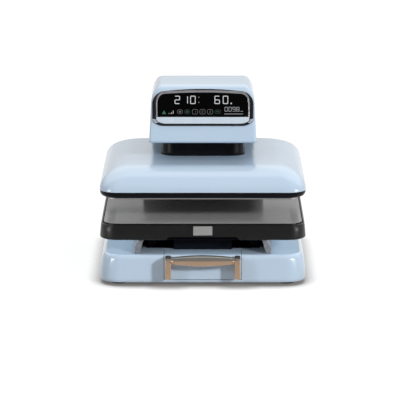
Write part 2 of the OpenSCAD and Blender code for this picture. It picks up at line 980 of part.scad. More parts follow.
module guide_bushes() {
    color([0.75, 0.60, 0.35])
        for (sx = [-1, 1])
            translate([sx * rod_span / 2, press_y, 0])
                difference() {
                    union() {
                        translate([0, 0, guide_z - bush_flange_h])
                            cylinder(d = rod_d + 2 * bush_wall, h = guide_h + bush_flange_h);
                        translate([0, 0, guide_z - bush_flange_h])
                            cylinder(d = rod_d + 2 * bush_wall + 2 * bush_flange, h = bush_flange_h);
                    }
                    translate([0, 0, guide_z - bush_flange_h - cut])
                        cylinder(d = rod_d + 2 * fit, h = guide_h + bush_flange_h + 2 * cut);
                }
}

module gear_motor() {
    z0 = drive_z + drive_t;
    color(dark_steel)
        translate([0, press_y, 0])
            difference() {
                rotate_extrude()
                    polygon([[0, z0], [motor_flange_d / 2, z0], [motor_flange_d / 2, z0 + motor_flange_h],
                             [motor_d / 2, z0 + motor_flange_h], [motor_d / 2, motor_top - motor_ease],
                             [motor_d / 2 - motor_ease, motor_top], [0, motor_top]]);
                translate([0, 0, z0 - cut])
                    cylinder(d = journal_d + 2 * fit, h = journal_top - z0 + 2 * cut);
            }
}

module screw_bearing() {
    color(steel)
        translate([0, press_y, drive_z])
            difference() {
                cylinder(d = journal_d + 2 * bearing_wall, h = drive_t);
                translate([0, 0, -cut])
                    cylinder(d = journal_d + 2 * fit, h = drive_t + 2 * cut);
            }
}

module lead_screw() {
    color(steel)
        translate([0, press_y, 0]) {
            translate([0, 0, screw_low])
                cylinder(d = screw_d, h = drive_z - slide_gap - screw_low);
            translate([0, 0, drive_z - cut])
                cylinder(d = journal_d, h = journal_top - drive_z + cut);
        }
}

module frame_bolts() {
    color(steel) {
        both_sides()
            frame_bolt_axes() {
                cylinder(d = bolt_d, h = frame_t + bolt_reach);
                translate([0, 0, -bolt_head_h])
                    cylinder(d = bolt_head_d, h = bolt_head_h, $fn = 6);
            }
        frame_foot_holes(deck_under - bed_t, bed_t + frame_foot_t, bolt_d);
        frame_foot_holes(deck_under + frame_foot_t, bolt_head_h, bolt_head_d);
    }
}

// Head and column

// Side outline of the head and its arm, drawn in by w; open at the foot when w is set
function head_side(w) =
    let (lean = tan(panel_tilt))
    let (fall = tan(head_fall))
    let (bend_z = head_top - arm_bend_r)
    let (ridge_y = arm_break_y - arm_bend_r * sin(head_fall))
    let (ridge_z = bend_z + arm_bend_r * cos(head_fall))
    let (panel_in = head_front_y - head_z * lean + head_brow_r / cos(panel_tilt))
    let (top_in = ridge_z - ridge_y * fall - head_brow_r / cos(head_fall))
    let (brow_z = (top_in + panel_in * fall) / (1 - lean * fall))
    let (brow_y = panel_in + brow_z * lean)
    let (slope_y = arm_break_y + arm_bend_r * sin(arm_slope))
    let (slope_z = bend_z + arm_bend_r * cos(arm_slope))
    let (heel_y = back_y - arm_back_r)
    let (heel_z = slope_z - (arm_back_r - (slope_y - heel_y) * sin(arm_slope)) / cos(arm_slope))
    let (foot = w > 0
        ? [[back_y - w, head_z - cut], [chin_y, head_z - cut]]
        : [[back_y, head_z]])
    let (chin_r = head_foot_r - w)
    concat(
        foot, arc(chin_y, head_z + head_foot_r, chin_r, chin_r, 270, 180 - panel_tilt),
        arc(brow_y, brow_z, head_brow_r - w, head_brow_r - w, 180 - panel_tilt, 90 + head_fall),
        arc(arm_break_y, bend_z, arm_bend_r - w, arm_bend_r - w, 90 + head_fall, 90 - arm_slope),
        arc(heel_y, heel_z, arm_back_r - w, arm_back_r - w, 90 - arm_slope, 0));

// Front outline of the head, as wide as top_w below its long rounded shoulders. Its foot
// runs on below the head, because the side outline ends it.
function head_face(w, top_w) =
    let (foot = head_z - head_h)
    let (flat = head_top_w / 2 - head_edge_a)
    let (a = top_w / 2 - flat - w)
    let (b = head_edge_b - w)
    concat(
        [[w - head_w / 2, foot], [head_w / 2 - w, foot], [head_w / 2 - w, head_z]],
        arc(flat, head_top - head_edge_b, a, b, 0, 90),
        arc(-flat, head_top - head_edge_b, a, b, 90, 180),
        [[w - head_w / 2, head_z]]);

module head_body(w) {
    // One prism lies along the fall to the brow and one along the arm's slope, so the
    // shoulders follow the ridge down both ways
    intersection() {
        along_x(-head_w, head_w)
            polygon(head_side(w));
        translate([0, arm_break_y, head_top])
            rotate([head_fall, 0, 0])
                translate([0, -arm_break_y, -head_top])
                    along_y(head_front_y - head_h, back_y + head_h)
                        polygon(head_face(w, head_top_w));
        translate([0, arm_pivot_y, head_top])
            rotate([-arm_slope, 0, 0])
                translate([0, -arm_pivot_y, -head_top])
                    along_y(head_front_y - head_h, back_y + head_h)
                        polygon(head_face(w, head_w));
    }
}

module head_shell() {
    color(blue)
        difference() {
            head_body(0);
            head_body(head_wall);
            on_panel()
                translate([0, window_low + window_h / 2, -2 * head_wall])
                    linear_extrude(3 * head_wall)
                        polygon(rounded2(window_w / 2 + loose, window_h / 2 + loose, window_top_r,
                                         window_low_r));
            cover_screw_places()
                translate([0, 0, -cut])
                    cylinder(d = screw_shank + loose, h = 2 * head_wall);
        }
}

module head_underside() {
    half = head_w / 2 - head_wall - pan_gap;
    y0 = chin_y + pan_gap;
    color(blue)
        difference() {
            box([-half, y0, head_z], [half, column_y, head_z + head_wall]);
            translate([0, press_y, 0])
                slab(neck_w / 2 + neck_gap, neck_d / 2 + neck_gap, neck_r + neck_gap, head_z - cut,
                     head_z + head_wall + cut);
        }
}

// Front outline of the column: wide below, sloping shoulders up to the head's width
function column_face(w, over = 0) = [
    [w - column_w / 2, deck_z - over], [column_w / 2 - w, deck_z - over],
    [column_w / 2 - w, shoulder_low - w / 2], [head_w / 2 - w, shoulder_high - w / 2],
    [head_w / 2 - w, head_z + over], [w - head_w / 2, head_z + over],
    [w - head_w / 2, shoulder_high - w / 2], [w - column_w / 2, shoulder_low - w / 2]];

// Body of the rear cover, drawn in by w and run past its open sides by over
module column_body(w, over = 0) {
    r = column_corner_r - w;
    y0 = column_y + column_wall - over;
    plan = concat([[column_w / 2 - w, y0]],
        arc(column_w / 2 - column_corner_r, back_y - column_corner_r, r, r, 0, 90),
        arc(column_corner_r - column_w / 2, back_y - column_corner_r, r, r, 90, 180),
        [[w - column_w / 2, y0]]);
    intersection() {
        along_y(y0, back_y + cut)
            polygon(column_face(w, over));
        translate([0, 0, deck_z - 2 * cut])
            linear_extrude(head_z - deck_z + 4 * cut)
                polygon(plan);
    }
}

// Screws through the column's back, pointing in, and their places
module cover_screw_places() {
    for (sx = [-1, 1])
        translate([sx * (head_w / 2 - cover_screw_in), back_y, head_z + cover_screw_in / 2])
            rotate([90, 0, 0])
                children();
}

module back_panel_cuts() {
    translate([inlet_at[0], back_y, inlet_at[1]])
        cube([inlet_body[0] + loose, 4 * column_wall, inlet_body[1] + loose], center = true);
    translate([rocker_at[0], back_y, rocker_at[1]])
        cube([rocker_cut[0] + 2 * rocker_body_t + loose, 4 * column_wall,
              rocker_cut[1] + 2 * rocker_body_t + loose], center = true);
    for (i = [0 : vent_count - 1])
        translate([0, back_y, vent_z - i * vent_pitch])
            cube([vent_w, 4 * column_wall, vent_h], center = true);
}

module column_rear_cover() {
    color(blue)
        difference() {
            column_body(0);
            column_body(column_wall, cut);
            back_panel_cuts();
        }
}

module column_front_cover() {
    color(black)
        along_y(column_y, column_y + column_wall)
            polygon(column_face(loose));
}

module cover_screws() {
    color(steel)
        cover_screw_places()
            screw_up(cover_screw_len);
}

// Display panel

module display_bezel() {
    color(dark_steel)
        on_panel()
            difference() {
                translate([0, bezel_mid, 0])
                    linear_extrude(bezel_t)
                        polygon(rounded2(bezel_w / 2, bezel_h / 2, bezel_top_r, bezel_low_r));
                translate([0, window_low + window_h / 2, -cut])
                    linear_extrude(bezel_t + 2 * cut)
                        polygon(rounded2(window_w / 2, window_h / 2, window_top_r, window_low_r));
            }
}

// The bezel's window drawn in by the running gap: the outline that glass and keys share
module window_fill() {
    translate([0, window_low + window_h / 2])
        polygon(rounded2(window_w / 2 - slide_gap, window_h / 2 - slide_gap, window_top_r - slide_gap,
                         window_low_r - slide_gap));
}

module display_glass() {
    color(black)
        on_panel()
            translate([0, 0, -head_wall])
                linear_extrude(head_wall + glass_front)
                    intersection() {
                        window_fill();
                        translate([-window_w / 2, glass_low])
                            square([window_w, window_h]);
                    }
}

module display_board() {
    color(board_green)
        on_panel() {
            translate([0, window_low + window_h / 2, -head_wall - board_gap - board_t])
                linear_extrude(board_t)
                    polygon(rounded2(window_w / 2 + board_lap, window_h / 2 + board_lap,
                                     window_top_r + board_lap, window_low_r));
            for (i = [0 : key_count - 1])
                translate([key_x(i), window_low + key_h / 2, -head_wall - board_gap])
                    cylinder(d = switch_d, h = switch_h + board_gap);
        }
}

function key_x(i) = (i - (key_count - 1) / 2) * key_pitch;

module key(i) {
    color(blue)
        on_panel()
            translate([0, 0, key_back])
                linear_extrude(key_front - key_back)
                    intersection() {
                        window_fill();
                        translate([key_x(i) - (key_pitch - slide_gap) / 2, window_low])
                            square([key_pitch - slide_gap, key_h]);
                    }
}

// Electronics

module control_board() {
    y0 = frame_col_y + brace_t;
    half = control_size[0] / 2;
    high = control_z + control_size[1];
    color(board_green) {
        box([-half, y0 + board_lift, control_z], [half, y0 + board_lift + board_t, high]);
        for (sx = [-1, 1], z = [control_z + board_post_d, high - board_post_d])
            translate([sx * (half - board_post_d), y0, z])
                rotate([-90, 0, 0])
                    cylinder(d = board_post_d, h = board_lift + cut);
        box([-half / 2, y0 + board_lift, control_z + control_size[1] / 3],
            [half / 4, y0 + 3 * board_lift, control_z + control_size[1] * 2 / 3]);
    }
}

module power_board() {
    mid = -bed_half - board_lift - power_size[0] / 2;
    half = [power_size[0] / 2, power_size[1] / 2];
    z0 = pan_top + board_lift;
    color(board_green)
        translate([mid, press_y, 0]) {
            box([-half[0], -half[1], z0], [half[0], half[1], z0 + board_t]);
            at_corners(half[0] - board_post_d, [board_post_d - half[1], half[1] - board_post_d])
                translate([0, 0, pan_top])
                    cylinder(d = board_post_d, h = board_lift + cut);
            box([-half[0] / 2, -half[1] / 2, z0], [half[0] / 2, 0, z0 + transformer_h]);
            translate([0, half[1] / 2, z0])
                cylinder(d = half[0], h = transformer_h);
        }
}

module power_inlet() {
    color(black)
        translate([inlet_at[0], back_y, inlet_at[1]])
            difference() {
                union() {
                    translate([-inlet_size[0] / 2, 0, -inlet_size[1] / 2])
                        cube([inlet_size[0], inlet_lip, inlet_size[1]]);
                    translate([-inlet_body[0] / 2, -inlet_depth, -inlet_body[1] / 2])
                        cube([inlet_body[0], inlet_depth + cut, inlet_body[1]]);
                }
                translate([-inlet_cavity[0] / 2, inlet_back - inlet_depth, -inlet_cavity[1] / 2])
                    cube([inlet_cavity[0], inlet_depth + inlet_lip, inlet_cavity[1]]);
            }
}

module switch_housing() {
    hx = rocker_cut[0] / 2 + rocker_body_t;
    hz = rocker_cut[1] / 2 + rocker_body_t;
    color(black)
        translate([rocker_at[0], back_y, rocker_at[1]])
            difference() {
                union() {
                    translate([-rocker_size[0] / 2, 0, -rocker_size[1] / 2])
                        cube([rocker_size[0], rocker_lip, rocker_size[1]]);
                    translate([-hx, -rocker_depth, -hz])
                        cube([2 * hx, rocker_depth + cut, 2 * hz]);
                }
                translate([-rocker_cut[0] / 2, rocker_body_t - rocker_depth, -rocker_cut[1] / 2])
                    cube([rocker_cut[0], rocker_depth + rocker_lip, rocker_cut[1]]);
                translate([-hx - cut, -rocker_depth / 2, 0])
                    rotate([0, 90, 0])
                        cylinder(d = rocker_pin_d + 2 * fit, h = 2 * hx + 2 * cut);
            }
}

module power_rocker() {
    hx = rocker_cut[0] / 2 - slide_gap;
    hz = rocker_cut[1] / 2 - rocker_swing;
    face = rocker_depth / 2;
    color(rubber)
        translate([rocker_at[0], back_y - face, rocker_at[1]])
            rotate([rocker_angle, 0, 0]) {
                along_x(-hx, hx)
                    polygon([[-rocker_pin_d, -rocker_pin_d], [-rocker_pin_d, rocker_pin_d], [face - 2, hz],
                             [face + 1, hz], [face - 1, 0], [face + 1, -hz], [face - 2, -hz]]);
                translate([-hx - rocker_body_t / 2, 0, 0])
                    rotate([0, 90, 0])
                        cylinder(d = rocker_pin_d, h = 2 * hx + rocker_body_t);
            }
}

// Heated dome

// Ring of the dome at the angle a up its rounded edge, drawn in by w
function dome_ring(a, w) =
    let (rise = dome_h - dome_skirt)
    let (inset = dome_edge_r - (dome_edge_r - w) * cos(a))
    ring(dome_w / 2 - inset, dome_d / 2 - inset, dome_corner_r, dome_top - rise + (rise - w) * sin(a));

module dome_shell() {
    steps = 9;
    hole = [neck_w / 2 - opening_lip, neck_d / 2 - opening_lip, neck_r - opening_lip];
    outer = [for (i = [0 : steps]) dome_ring(90 * i / steps, 0)];
    inner = [for (i = [steps : -1 : 0]) dome_ring(90 * i / steps, dome_wall)];
    color(blue)
        translate([0, press_y, 0])
            ring_skin(concat(
                [ring(dome_w / 2, dome_d / 2, dome_corner_r, dome_z)], outer,
                [ring(hole[0], hole[1], hole[2], dome_top),
                 ring(hole[0], hole[1], hole[2], dome_top - dome_wall)],
                inner, [ring(dome_w / 2 - dome_wall, dome_d / 2 - dome_wall, dome_corner_r, dome_z)]));
}

module dome_rim() {
    out_x = dome_w / 2;
    out_y = dome_d / 2;
    in_x = plate_w / 2 + rim_gap;
    in_y = plate_d / 2 + rim_gap;
    color(black)
        translate([0, press_y, 0])
            ring_skin([
                ring(out_x - rim_draw, out_y - rim_draw, dome_corner_r - rim_draw / 2, rim_z),
                ring(out_x - rim_gap, out_y - rim_gap, dome_corner_r - rim_gap, dome_z - rim_h / 3),
                ring(out_x - rim_gap, out_y - rim_gap, dome_corner_r - rim_gap, dome_z),
                ring(in_x, in_y, plate_r + rim_gap, dome_z),
                ring(in_x, in_y, plate_r + rim_gap, rim_z)]);
}

module heat_plate() {
    color(aluminium)
        translate([0, press_y, 0])
            slab(plate_w / 2, plate_d / 2, plate_r, plate_z, plate_top);
}

// Serpentine heater: straight legs joined by half rings
module heating_element() {
    pitch = 2 * heater_half / (heater_legs - 1);
    run = heater_half - pitch / 2;
    color(dark_steel)
        translate([0, press_y, plate_top + heater_lift + heater_d / 2]) {
            for (i = [0 : heater_legs - 1])
                translate([-run, (i - (heater_legs - 1) / 2) * pitch, 0])
                    rotate([0, 90, 0])
                        cylinder(d = heater_d, h = 2 * run);
            for (i = [0 : heater_legs - 2])
                translate([i % 2 == 0 ? run : -run, (i + 1 - heater_legs / 2) * pitch, 0])
                    rotate([0, 0, i % 2 == 0 ? -90 : 90])
                        rotate_extrude(angle = 180)
                            translate([pitch / 2, 0])
                                circle(d = heater_d);
        }
}

module insulation_blanket() {
    z0 = plate_top + heater_lift + heater_d;
    color([0.90, 0.88, 0.82])
        translate([0, press_y, 0])
            slab(plate_w / 2 - wool_edge, plate_d / 2 - wool_edge, wool_t, z0 + heater_lift, z0 + wool_t);
}

module mounting_plate() {
    color(steel)
        translate([0, press_y, 0])
            slab(dome_w / 2 - mount_edge, dome_d / 2 - mount_edge, mount_edge, mount_z, mount_top);
}

module standoffs() {
    color(steel)
        translate([0, press_y, 0]) {
            at_corners(plate_w / 2 - standoff_in, [standoff_in - plate_d / 2, plate_d / 2 - standoff_in])
                translate([0, 0, plate_top])
                    cylinder(d = standoff_d, h = mount_z - plate_top);
            at_corners(spacer_half[0], [-spacer_half[1], spacer_half[1]])
                translate([0, 0, mount_top])
                    cylinder(d = spacer_d, h = dome_top - dome_wall - mount_top);
        }
}

module thermal_cutout() {
    color(aluminium)
        translate([0, press_y + plate_d / 2 - standoff_in, plate_top]) {
            cylinder(d = cutout_d, h = cutout_h / 3);
            cylinder(d = cutout_d * 3 / 4, h = cutout_h);
        }
}

module nut_tower() {
    color(steel)
        translate([0, press_y, 0])
            difference() {
                union() {
                    translate([0, 0, mount_top])
                        cylinder(d = tower_d, h = tower_top - mount_top);
                    translate([0, 0, mount_top])
                        cylinder(d = tower_flange_d, h = tower_flange_h);
                }
                translate([0, 0, mount_top - cut])
                    cylinder(d = tower_bore, h = tower_top - mount_top + 2 * cut);
            }
}

module drive_nut() {
    color([0.75, 0.60, 0.35])
        translate([0, press_y, 0])
            difference() {
                union() {
                    translate([0, 0, tower_top])
                        cylinder(d = tower_d, h = nut_flange_h);
                    translate([0, 0, nut_top - nut_h])
                        cylinder(d = tower_bore - 4 * fit, h = nut_h - nut_flange_h + cut);
                }
                translate([0, 0, nut_top - nut_h - cut])
                    cylinder(d = screw_d + 2 * fit, h = nut_h + 2 * cut);
            }
}

module guide_rods() {
    color(steel)
        for (sx = [-1, 1])
            translate([sx * rod_span / 2, press_y, mount_top])
                cylinder(d = rod_d, h = rod_top - mount_top);
}

module neck_sleeve() {
    color(black)
        translate([0, press_y, 0])
            difference() {
                union() {
                    slab(neck_w / 2, neck_d / 2, neck_r, dome_top, sleeve_top);
                    slab(neck_w / 2 + neck_flare, neck_d / 2 + neck_flare, neck_r + neck_flare, dome_top,
                         dome_top + flange_h);
                }
                slab(neck_w / 2 - neck_wall, neck_d / 2 - neck_wall, neck_r - neck_wall, dome_top - cut,
                     sleeve_top + cut);
            }
}

base_shell();
base_pan();
rubber_feet();
base_screws();
bed_channel();
slide_outer_members();
frame_plate_left();
frame_plate_right();
column_brace();
drive_plate();
guide_block();
guide_bushes();
gear_motor();
screw_bearing();
column_rear_cover();
column_front_cover();
head_shell();
head_underside();
display_bezel();
display_glass();
display_board();
control_board();
power_board();
power_inlet();
switch_housing();
frame_bolts();
cover_screws();
drawer_front();
handle_posts();
handle_bar();
handle_screws();
lower_tray();
lower_plate();
silicone_pad();
badge_plate();
sled_plate();
tray_bracket_left();
tray_bracket_right();
slide_inner_members();
slide_middle_members();
dome_shell();
dome_rim();
heat_plate();
heating_element();
insulation_blanket();
mounting_plate();
standoffs();
nut_tower();
drive_nut();
guide_rods();
neck_sleeve();
thermal_cutout();
lead_screw();
key(0);  // key_1
key(1);  // key_2
key(2);  // key_3
key(3);  // key_4
key(4);  // key_5
power_rocker();
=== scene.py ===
"""Dresses the heat press: pale blue shells, black tray and neck, copper handle, dark display."""
import json
import math
from collections import namedtuple

import bmesh
import bpy
import numpy as np
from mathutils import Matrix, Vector


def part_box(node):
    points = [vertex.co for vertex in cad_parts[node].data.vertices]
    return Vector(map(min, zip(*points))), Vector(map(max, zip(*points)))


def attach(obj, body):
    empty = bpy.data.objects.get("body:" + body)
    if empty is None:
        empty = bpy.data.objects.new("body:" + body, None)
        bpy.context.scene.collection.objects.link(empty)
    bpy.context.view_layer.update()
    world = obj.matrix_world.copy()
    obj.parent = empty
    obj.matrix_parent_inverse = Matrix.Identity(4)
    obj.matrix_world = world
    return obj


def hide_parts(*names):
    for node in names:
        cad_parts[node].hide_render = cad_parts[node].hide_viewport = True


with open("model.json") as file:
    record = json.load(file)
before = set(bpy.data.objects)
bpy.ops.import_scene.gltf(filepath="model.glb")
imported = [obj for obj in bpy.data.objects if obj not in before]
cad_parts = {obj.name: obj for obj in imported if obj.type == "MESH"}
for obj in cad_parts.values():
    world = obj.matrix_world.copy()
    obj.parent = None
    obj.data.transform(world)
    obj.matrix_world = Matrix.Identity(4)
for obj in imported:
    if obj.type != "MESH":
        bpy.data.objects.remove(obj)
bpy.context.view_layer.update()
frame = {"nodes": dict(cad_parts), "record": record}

MM = 0.001
Box = namedtuple("Box", "low high middle half")


def node_box(name):
    """A solid's lowest and highest corner, middle and half size, in millimetres."""
    low, high = (np.array(corner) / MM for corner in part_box(name))
    return Box(low, high, (low + high) / 2, (high - low) / 2)


# Sizes in millimetres, read from the solids
base = node_box("base_shell")
dome = node_box("dome_shell")
plate = node_box("heat_plate")
rim = node_box("dome_rim")
tray = node_box("lower_tray")
pad = node_box("silicone_pad")
head = node_box("head_shell")
column = node_box("column_rear_cover")
neck = node_box("neck_sleeve")
drawer = node_box("drawer_front")
post = node_box("handle_posts")
bar = node_box("handle_bar")
badge = node_box("badge_plate")
bracket = node_box("tray_bracket_right")
inlet = node_box("power_inlet")
feet = node_box("rubber_feet")

FRONT_Y = base.low[1]
BACK_Y = base.high[1]
DECK_Z = base.high[2]
PRESS_Y = dome.middle[1]
HEAD_Z = head.low[2]
HEAD_TOP = head.high[2]
HEAD_HALF = head.high[0]
HEAD_FRONT_Y = PRESS_Y - 112.0
SHELL_WALL = 3.0
RUNNING_GAP = 0.4
CORNER_STEPS = 12

# The leaning display panel: heights are measured up the panel from its foot
PANEL_LEAN = math.radians(8)
BEZEL_LOW = 36.4
BEZEL_HIGH = BEZEL_LOW + 77.0
BEZEL_HALF = HEAD_HALF - 6.5
WINDOW_LOW = BEZEL_LOW + 4.5
WINDOW_HIGH = WINDOW_LOW + 65.4
WINDOW_HALF = BEZEL_HALF - 8.5
KEY_HEIGHT = 14.0
GLASS_LOW = WINDOW_LOW + KEY_HEIGHT + RUNNING_GAP
GLASS_FRONT = 1.8
KEY_FRONT = 2.2
KEY_COUNT = 5


# Shader nodes

def fill(node, **inputs):
    """Sets a node's inputs by name: a value in place, another node's output by a link."""
    for name, value in inputs.items():
        socket = node.inputs[name.replace("_", " ")]
        if isinstance(value, bpy.types.NodeSocket):
            node.id_data.links.new(value, socket)
        else:
            socket.default_value = value


def add(tree, kind, **inputs):
    """A new shader node of a kind, with its inputs set."""
    node = tree.nodes.new("ShaderNode" + kind)
    fill(node, **inputs)
    return node


def shader(name):
    """A new material, its node tree and its Principled shader."""
    material = bpy.data.materials.new(name)
    material.use_nodes = True
    return material, material.node_tree, material.node_tree.nodes["Principled BSDF"]


def two_tones(tree, value, places, colours):
    """A run between two colours, along a value."""
    run = add(tree, "ValToRGB", Fac=value)
    for stop, place, colour in zip(run.color_ramp.elements, places, colours):
        stop.position = place
        stop.color = (*colour, 1)
    return run.outputs["Color"]


def ramp(tree, value, limits, levels, kind="SMOOTHSTEP"):
    """A step of a value between two limits, from one level to the other, smooth or straight."""
    step = add(tree, "MapRange", Value=value, From_Min=limits[0], From_Max=limits[1], To_Min=levels[0],
        To_Max=levels[1])
    step.interpolation_type = kind
    return step.outputs["Result"]


def combine(tree, kind, first, second):
    """Two values put together by one kind of arithmetic."""
    node = add(tree, "Math")
    node.operation = kind
    tree.links.new(first, node.inputs[0])
    tree.links.new(second, node.inputs[1])
    return node.outputs[0]


def choose(tree, factor, off, on):
    """One of two values, by a ray's kind."""
    return add(tree, "Mix", Factor=factor, A=off, B=on).outputs["Result"]


def seen_rays(tree):
    """The ray kinds, and one for what the camera sees, straight or through glass."""
    rays = add(tree, "LightPath").outputs
    return rays, combine(tree, "MAXIMUM", rays["Is Camera Ray"], rays["Is Transmission Ray"])


# Finishes

GRAIN_SPAN = (0.3, 0.7)
BUMP_DETAIL = 3.0


def grain_finish(name, dark, pale, rough, grain, bump, bump_grain, stretch=(1, 1, 1), metallic=0.0,
        coat=0.0, coat_rough=0.05, specular=0.5, detail=4.0):
    """Noise on Object coordinates runs the colour from dark to pale and the roughness from rough[0] to
    rough[1]; a finer noise lifts the surface by the bump, in thousandths of a millimetre."""
    material, tree, principled = shader(name)
    place = add(tree, "TexCoord").outputs["Object"]
    place = add(tree, "Mapping", Vector=place, Scale=stretch).outputs["Vector"]
    noise = add(tree, "TexNoise", Vector=place, Scale=grain, Detail=detail).outputs["Fac"]
    fill(principled, Base_Color=two_tones(tree, noise, GRAIN_SPAN, (dark, pale)),
        Roughness=ramp(tree, noise, GRAIN_SPAN, rough, "LINEAR"), Metallic=metallic, Coat_Weight=coat,
        Coat_Roughness=coat_rough, Specular_IOR_Level=specular)
    if bump > 0:
        fine = add(tree, "TexNoise", Vector=place, Scale=bump_grain, Detail=BUMP_DETAIL)
        lift = add(tree, "Bump", Strength=1.0, Distance=bump * MM * MM, Height=fine.outputs["Fac"])
        fill(principled, Normal=lift.outputs["Normal"])
    return material


def lit_finish(name, colour, strength):
    """A lit display segment: a black body that gives off its own colour."""
    material, _, principled = shader(name)
    fill(principled, Base_Color=(0.02, 0.02, 0.02, 1), Roughness=0.3, Emission_Color=(*colour, 1),
        Emission_Strength=strength)
    return material


def paint_dark_top_reflection(material):
    """Painted reflection: greys a finish by how far its surface faces up, as if its upper side mirrored the
    dark tray above.
    """
    tree = material.node_tree
    principled = tree.nodes["Principled BSDF"]
    tone = principled.inputs["Base Color"].links[0].from_socket
    facing = add(tree, "SeparateXYZ", Vector=add(tree, "NewGeometry").outputs["Normal"])
    blend = add(tree, "Mix")
    blend.data_type = "RGBA"
    # The grey is a painted dark reflection on the upward faces.
    fill(blend, Factor=ramp(tree, facing.outputs["Z"], (-0.05, 0.45), (0.0, 1.0)), A=tone,
        B=(0.30, 0.295, 0.28, 1))
    fill(principled, Base_Color=blend.outputs["Result"])


# Dark tone, pale tone, roughness, grain, bump and its grain of each finish, and what else sets it apart
GRAINS = {
    "shell_blue": ((0.446, 0.558, 0.680), (0.450, 0.562, 0.684), (0.24, 0.26), 14, 1, 40,
        dict(coat=0.5, coat_rough=0.07)),
    "key_blue": ((0.51, 0.585, 0.665), (0.54, 0.615, 0.69), (0.32, 0.40), 40, 6, 900, {}),
    "black_plastic": ((0.004, 0.004, 0.005), (0.007, 0.007, 0.009), (0.34, 0.44), 60, 20, 1500,
        dict(specular=0.12)),
    "tray_black": ((0.008, 0.008, 0.008), (0.010, 0.010, 0.010), (0.33, 0.39), 45, 12, 1400,
        dict(specular=0.35)),
    "rubber_black": ((0.012, 0.012, 0.012), (0.022, 0.022, 0.022), (0.6, 0.8), 120, 40, 1100, {}),
    "silicone_grey": ((0.325, 0.325, 0.327), (0.345, 0.345, 0.347), (0.12, 0.16), 70, 3, 1600,
        dict(specular=0.07)),
    "copper": ((0.645, 0.445, 0.308), (0.675, 0.467, 0.325), (0.26, 0.28), 60, 0, 0,
        dict(stretch=(0.3, 1, 1), metallic=0.7, detail=1.0)),
    "steel": ((0.42, 0.43, 0.44), (0.55, 0.56, 0.57), (0.25, 0.40), 420, 8, 1500,
        dict(stretch=(1, 0.05, 1), metallic=1.0)),
    "dark_steel": ((0.004, 0.005, 0.009), (0.007, 0.008, 0.013), (0.45, 0.6), 80, 30, 1200,
        dict(specular=0.06)),
    "bed_black": ((0.004, 0.005, 0.008), (0.007, 0.008, 0.012), (0.5, 0.65), 80, 40, 1200,
        dict(specular=0.12)),
    "bracket_grey": ((0.20, 0.21, 0.235), (0.29, 0.30, 0.325), (0.38, 0.52), 160, 60, 700,
        dict(metallic=0.4)),
    "aluminium": ((0.50, 0.51, 0.50), (0.62, 0.63, 0.62), (0.26, 0.40), 600, 8, 1500,
        dict(stretch=(0.04, 1, 1), metallic=1.0)),
    "badge_silver": ((0.36, 0.36, 0.355), (0.42, 0.42, 0.415), (0.30, 0.42), 600, 8, 1500,
        dict(stretch=(0.04, 1, 1), metallic=0.4)),
    "bezel_dark": ((0.035, 0.035, 0.04), (0.055, 0.055, 0.062), (0.10, 0.16), 50, 2, 500,
        dict(metallic=0.8, coat=0.6)),
    "bezel_bright": ((0.40, 0.40, 0.43), (0.48, 0.48, 0.51), (0.16, 0.24), 90, 2, 600, dict(metallic=0.7)),
    "cheek_silver": ((0.42, 0.43, 0.47), (0.50, 0.51, 0.55), (0.24, 0.34), 120, 4, 900, dict(metallic=0.3)),
    "display_black": ((0.0010, 0.0010, 0.0012), (0.0016, 0.0016, 0.0018), (0.10, 0.16), 30, 0, 0,
        dict(specular=0.12)),
    "board_green": ((0.012, 0.10, 0.05), (0.02, 0.16, 0.08), (0.35, 0.5), 220, 20, 900, {}),
    "wool": ((0.62, 0.58, 0.48), (0.82, 0.79, 0.70), (0.9, 1.0), 260, 400, 500, {}),
    "bronze": ((0.46, 0.31, 0.12), (0.60, 0.42, 0.18), (0.25, 0.38), 240, 10, 1200, dict(metallic=1.0)),
}
# Colour and strength of the display's lit marks
LIGHTS = {
    "lit_white": ((0.86, 0.88, 0.90), 0.75),
    "lit_dim": ((0.55, 0.57, 0.60), 0.55),
    "lit_faint": ((0.55, 0.57, 0.60), 0.20),
    "lit_green": ((0.05, 0.42, 0.22), 0.27),
    "lit_shade": ((0.04, 0.30, 0.18), 0.12),
}
FINISHES = {name: grain_finish(name, *tones, **more) for name, (*tones, more) in GRAINS.items()}
FINISHES.update({name: lit_finish(name, *look) for name, look in LIGHTS.items()})
# The copper's upward faces take a painted dark reflection of the tray above.
paint_dark_top_reflection(FINISHES["copper"])


# Meshes

MERGE_REACH = 0.000004
SLIVER_REACH = 0.000002


def coords(*axes):
    """Points from their coordinates, each one number or an array."""
    return np.stack(np.broadcast_arrays(*axes), axis=-1)


def join(*parts):
    """Rows of points, or of numbers, one after another."""
    return np.concatenate(parts)


def grid(points, close_rows=False, close_columns=False):
    """A patch from a grid of points, row by row: (list of points, corner numbers of each face)."""
    rows, columns = points.shape[:2]
    r = np.arange(rows if close_rows else rows - 1)[:, None] * columns
    c = np.arange(columns if close_columns else columns - 1)
    next_r, next_c = (r + columns) % (rows * columns), (c + 1) % columns
    corners = coords(r + c, r + next_c, next_r + next_c, next_r + c)
    return points.reshape(-1, 3), corners.reshape(-1, 4).tolist()


def ring_skin(rings):
    """A patch closed both ways, as a ring is."""
    return grid(rings, True, True)


def loft(rings):
    """A closed skin through rings of points, each end shut by one flat face."""
    points, faces = grid(rings, close_columns=True)
    first = list(range(rings.shape[1]))
    last = list(range(len(points) - rings.shape[1], len(points)))
    return points, faces + [first[::-1], last]


def new_object(name, data):
    """An object of the scene, at the origin."""
    thing = bpy.data.objects.new(name, data)
    bpy.context.scene.collection.objects.link(thing)
    return thing


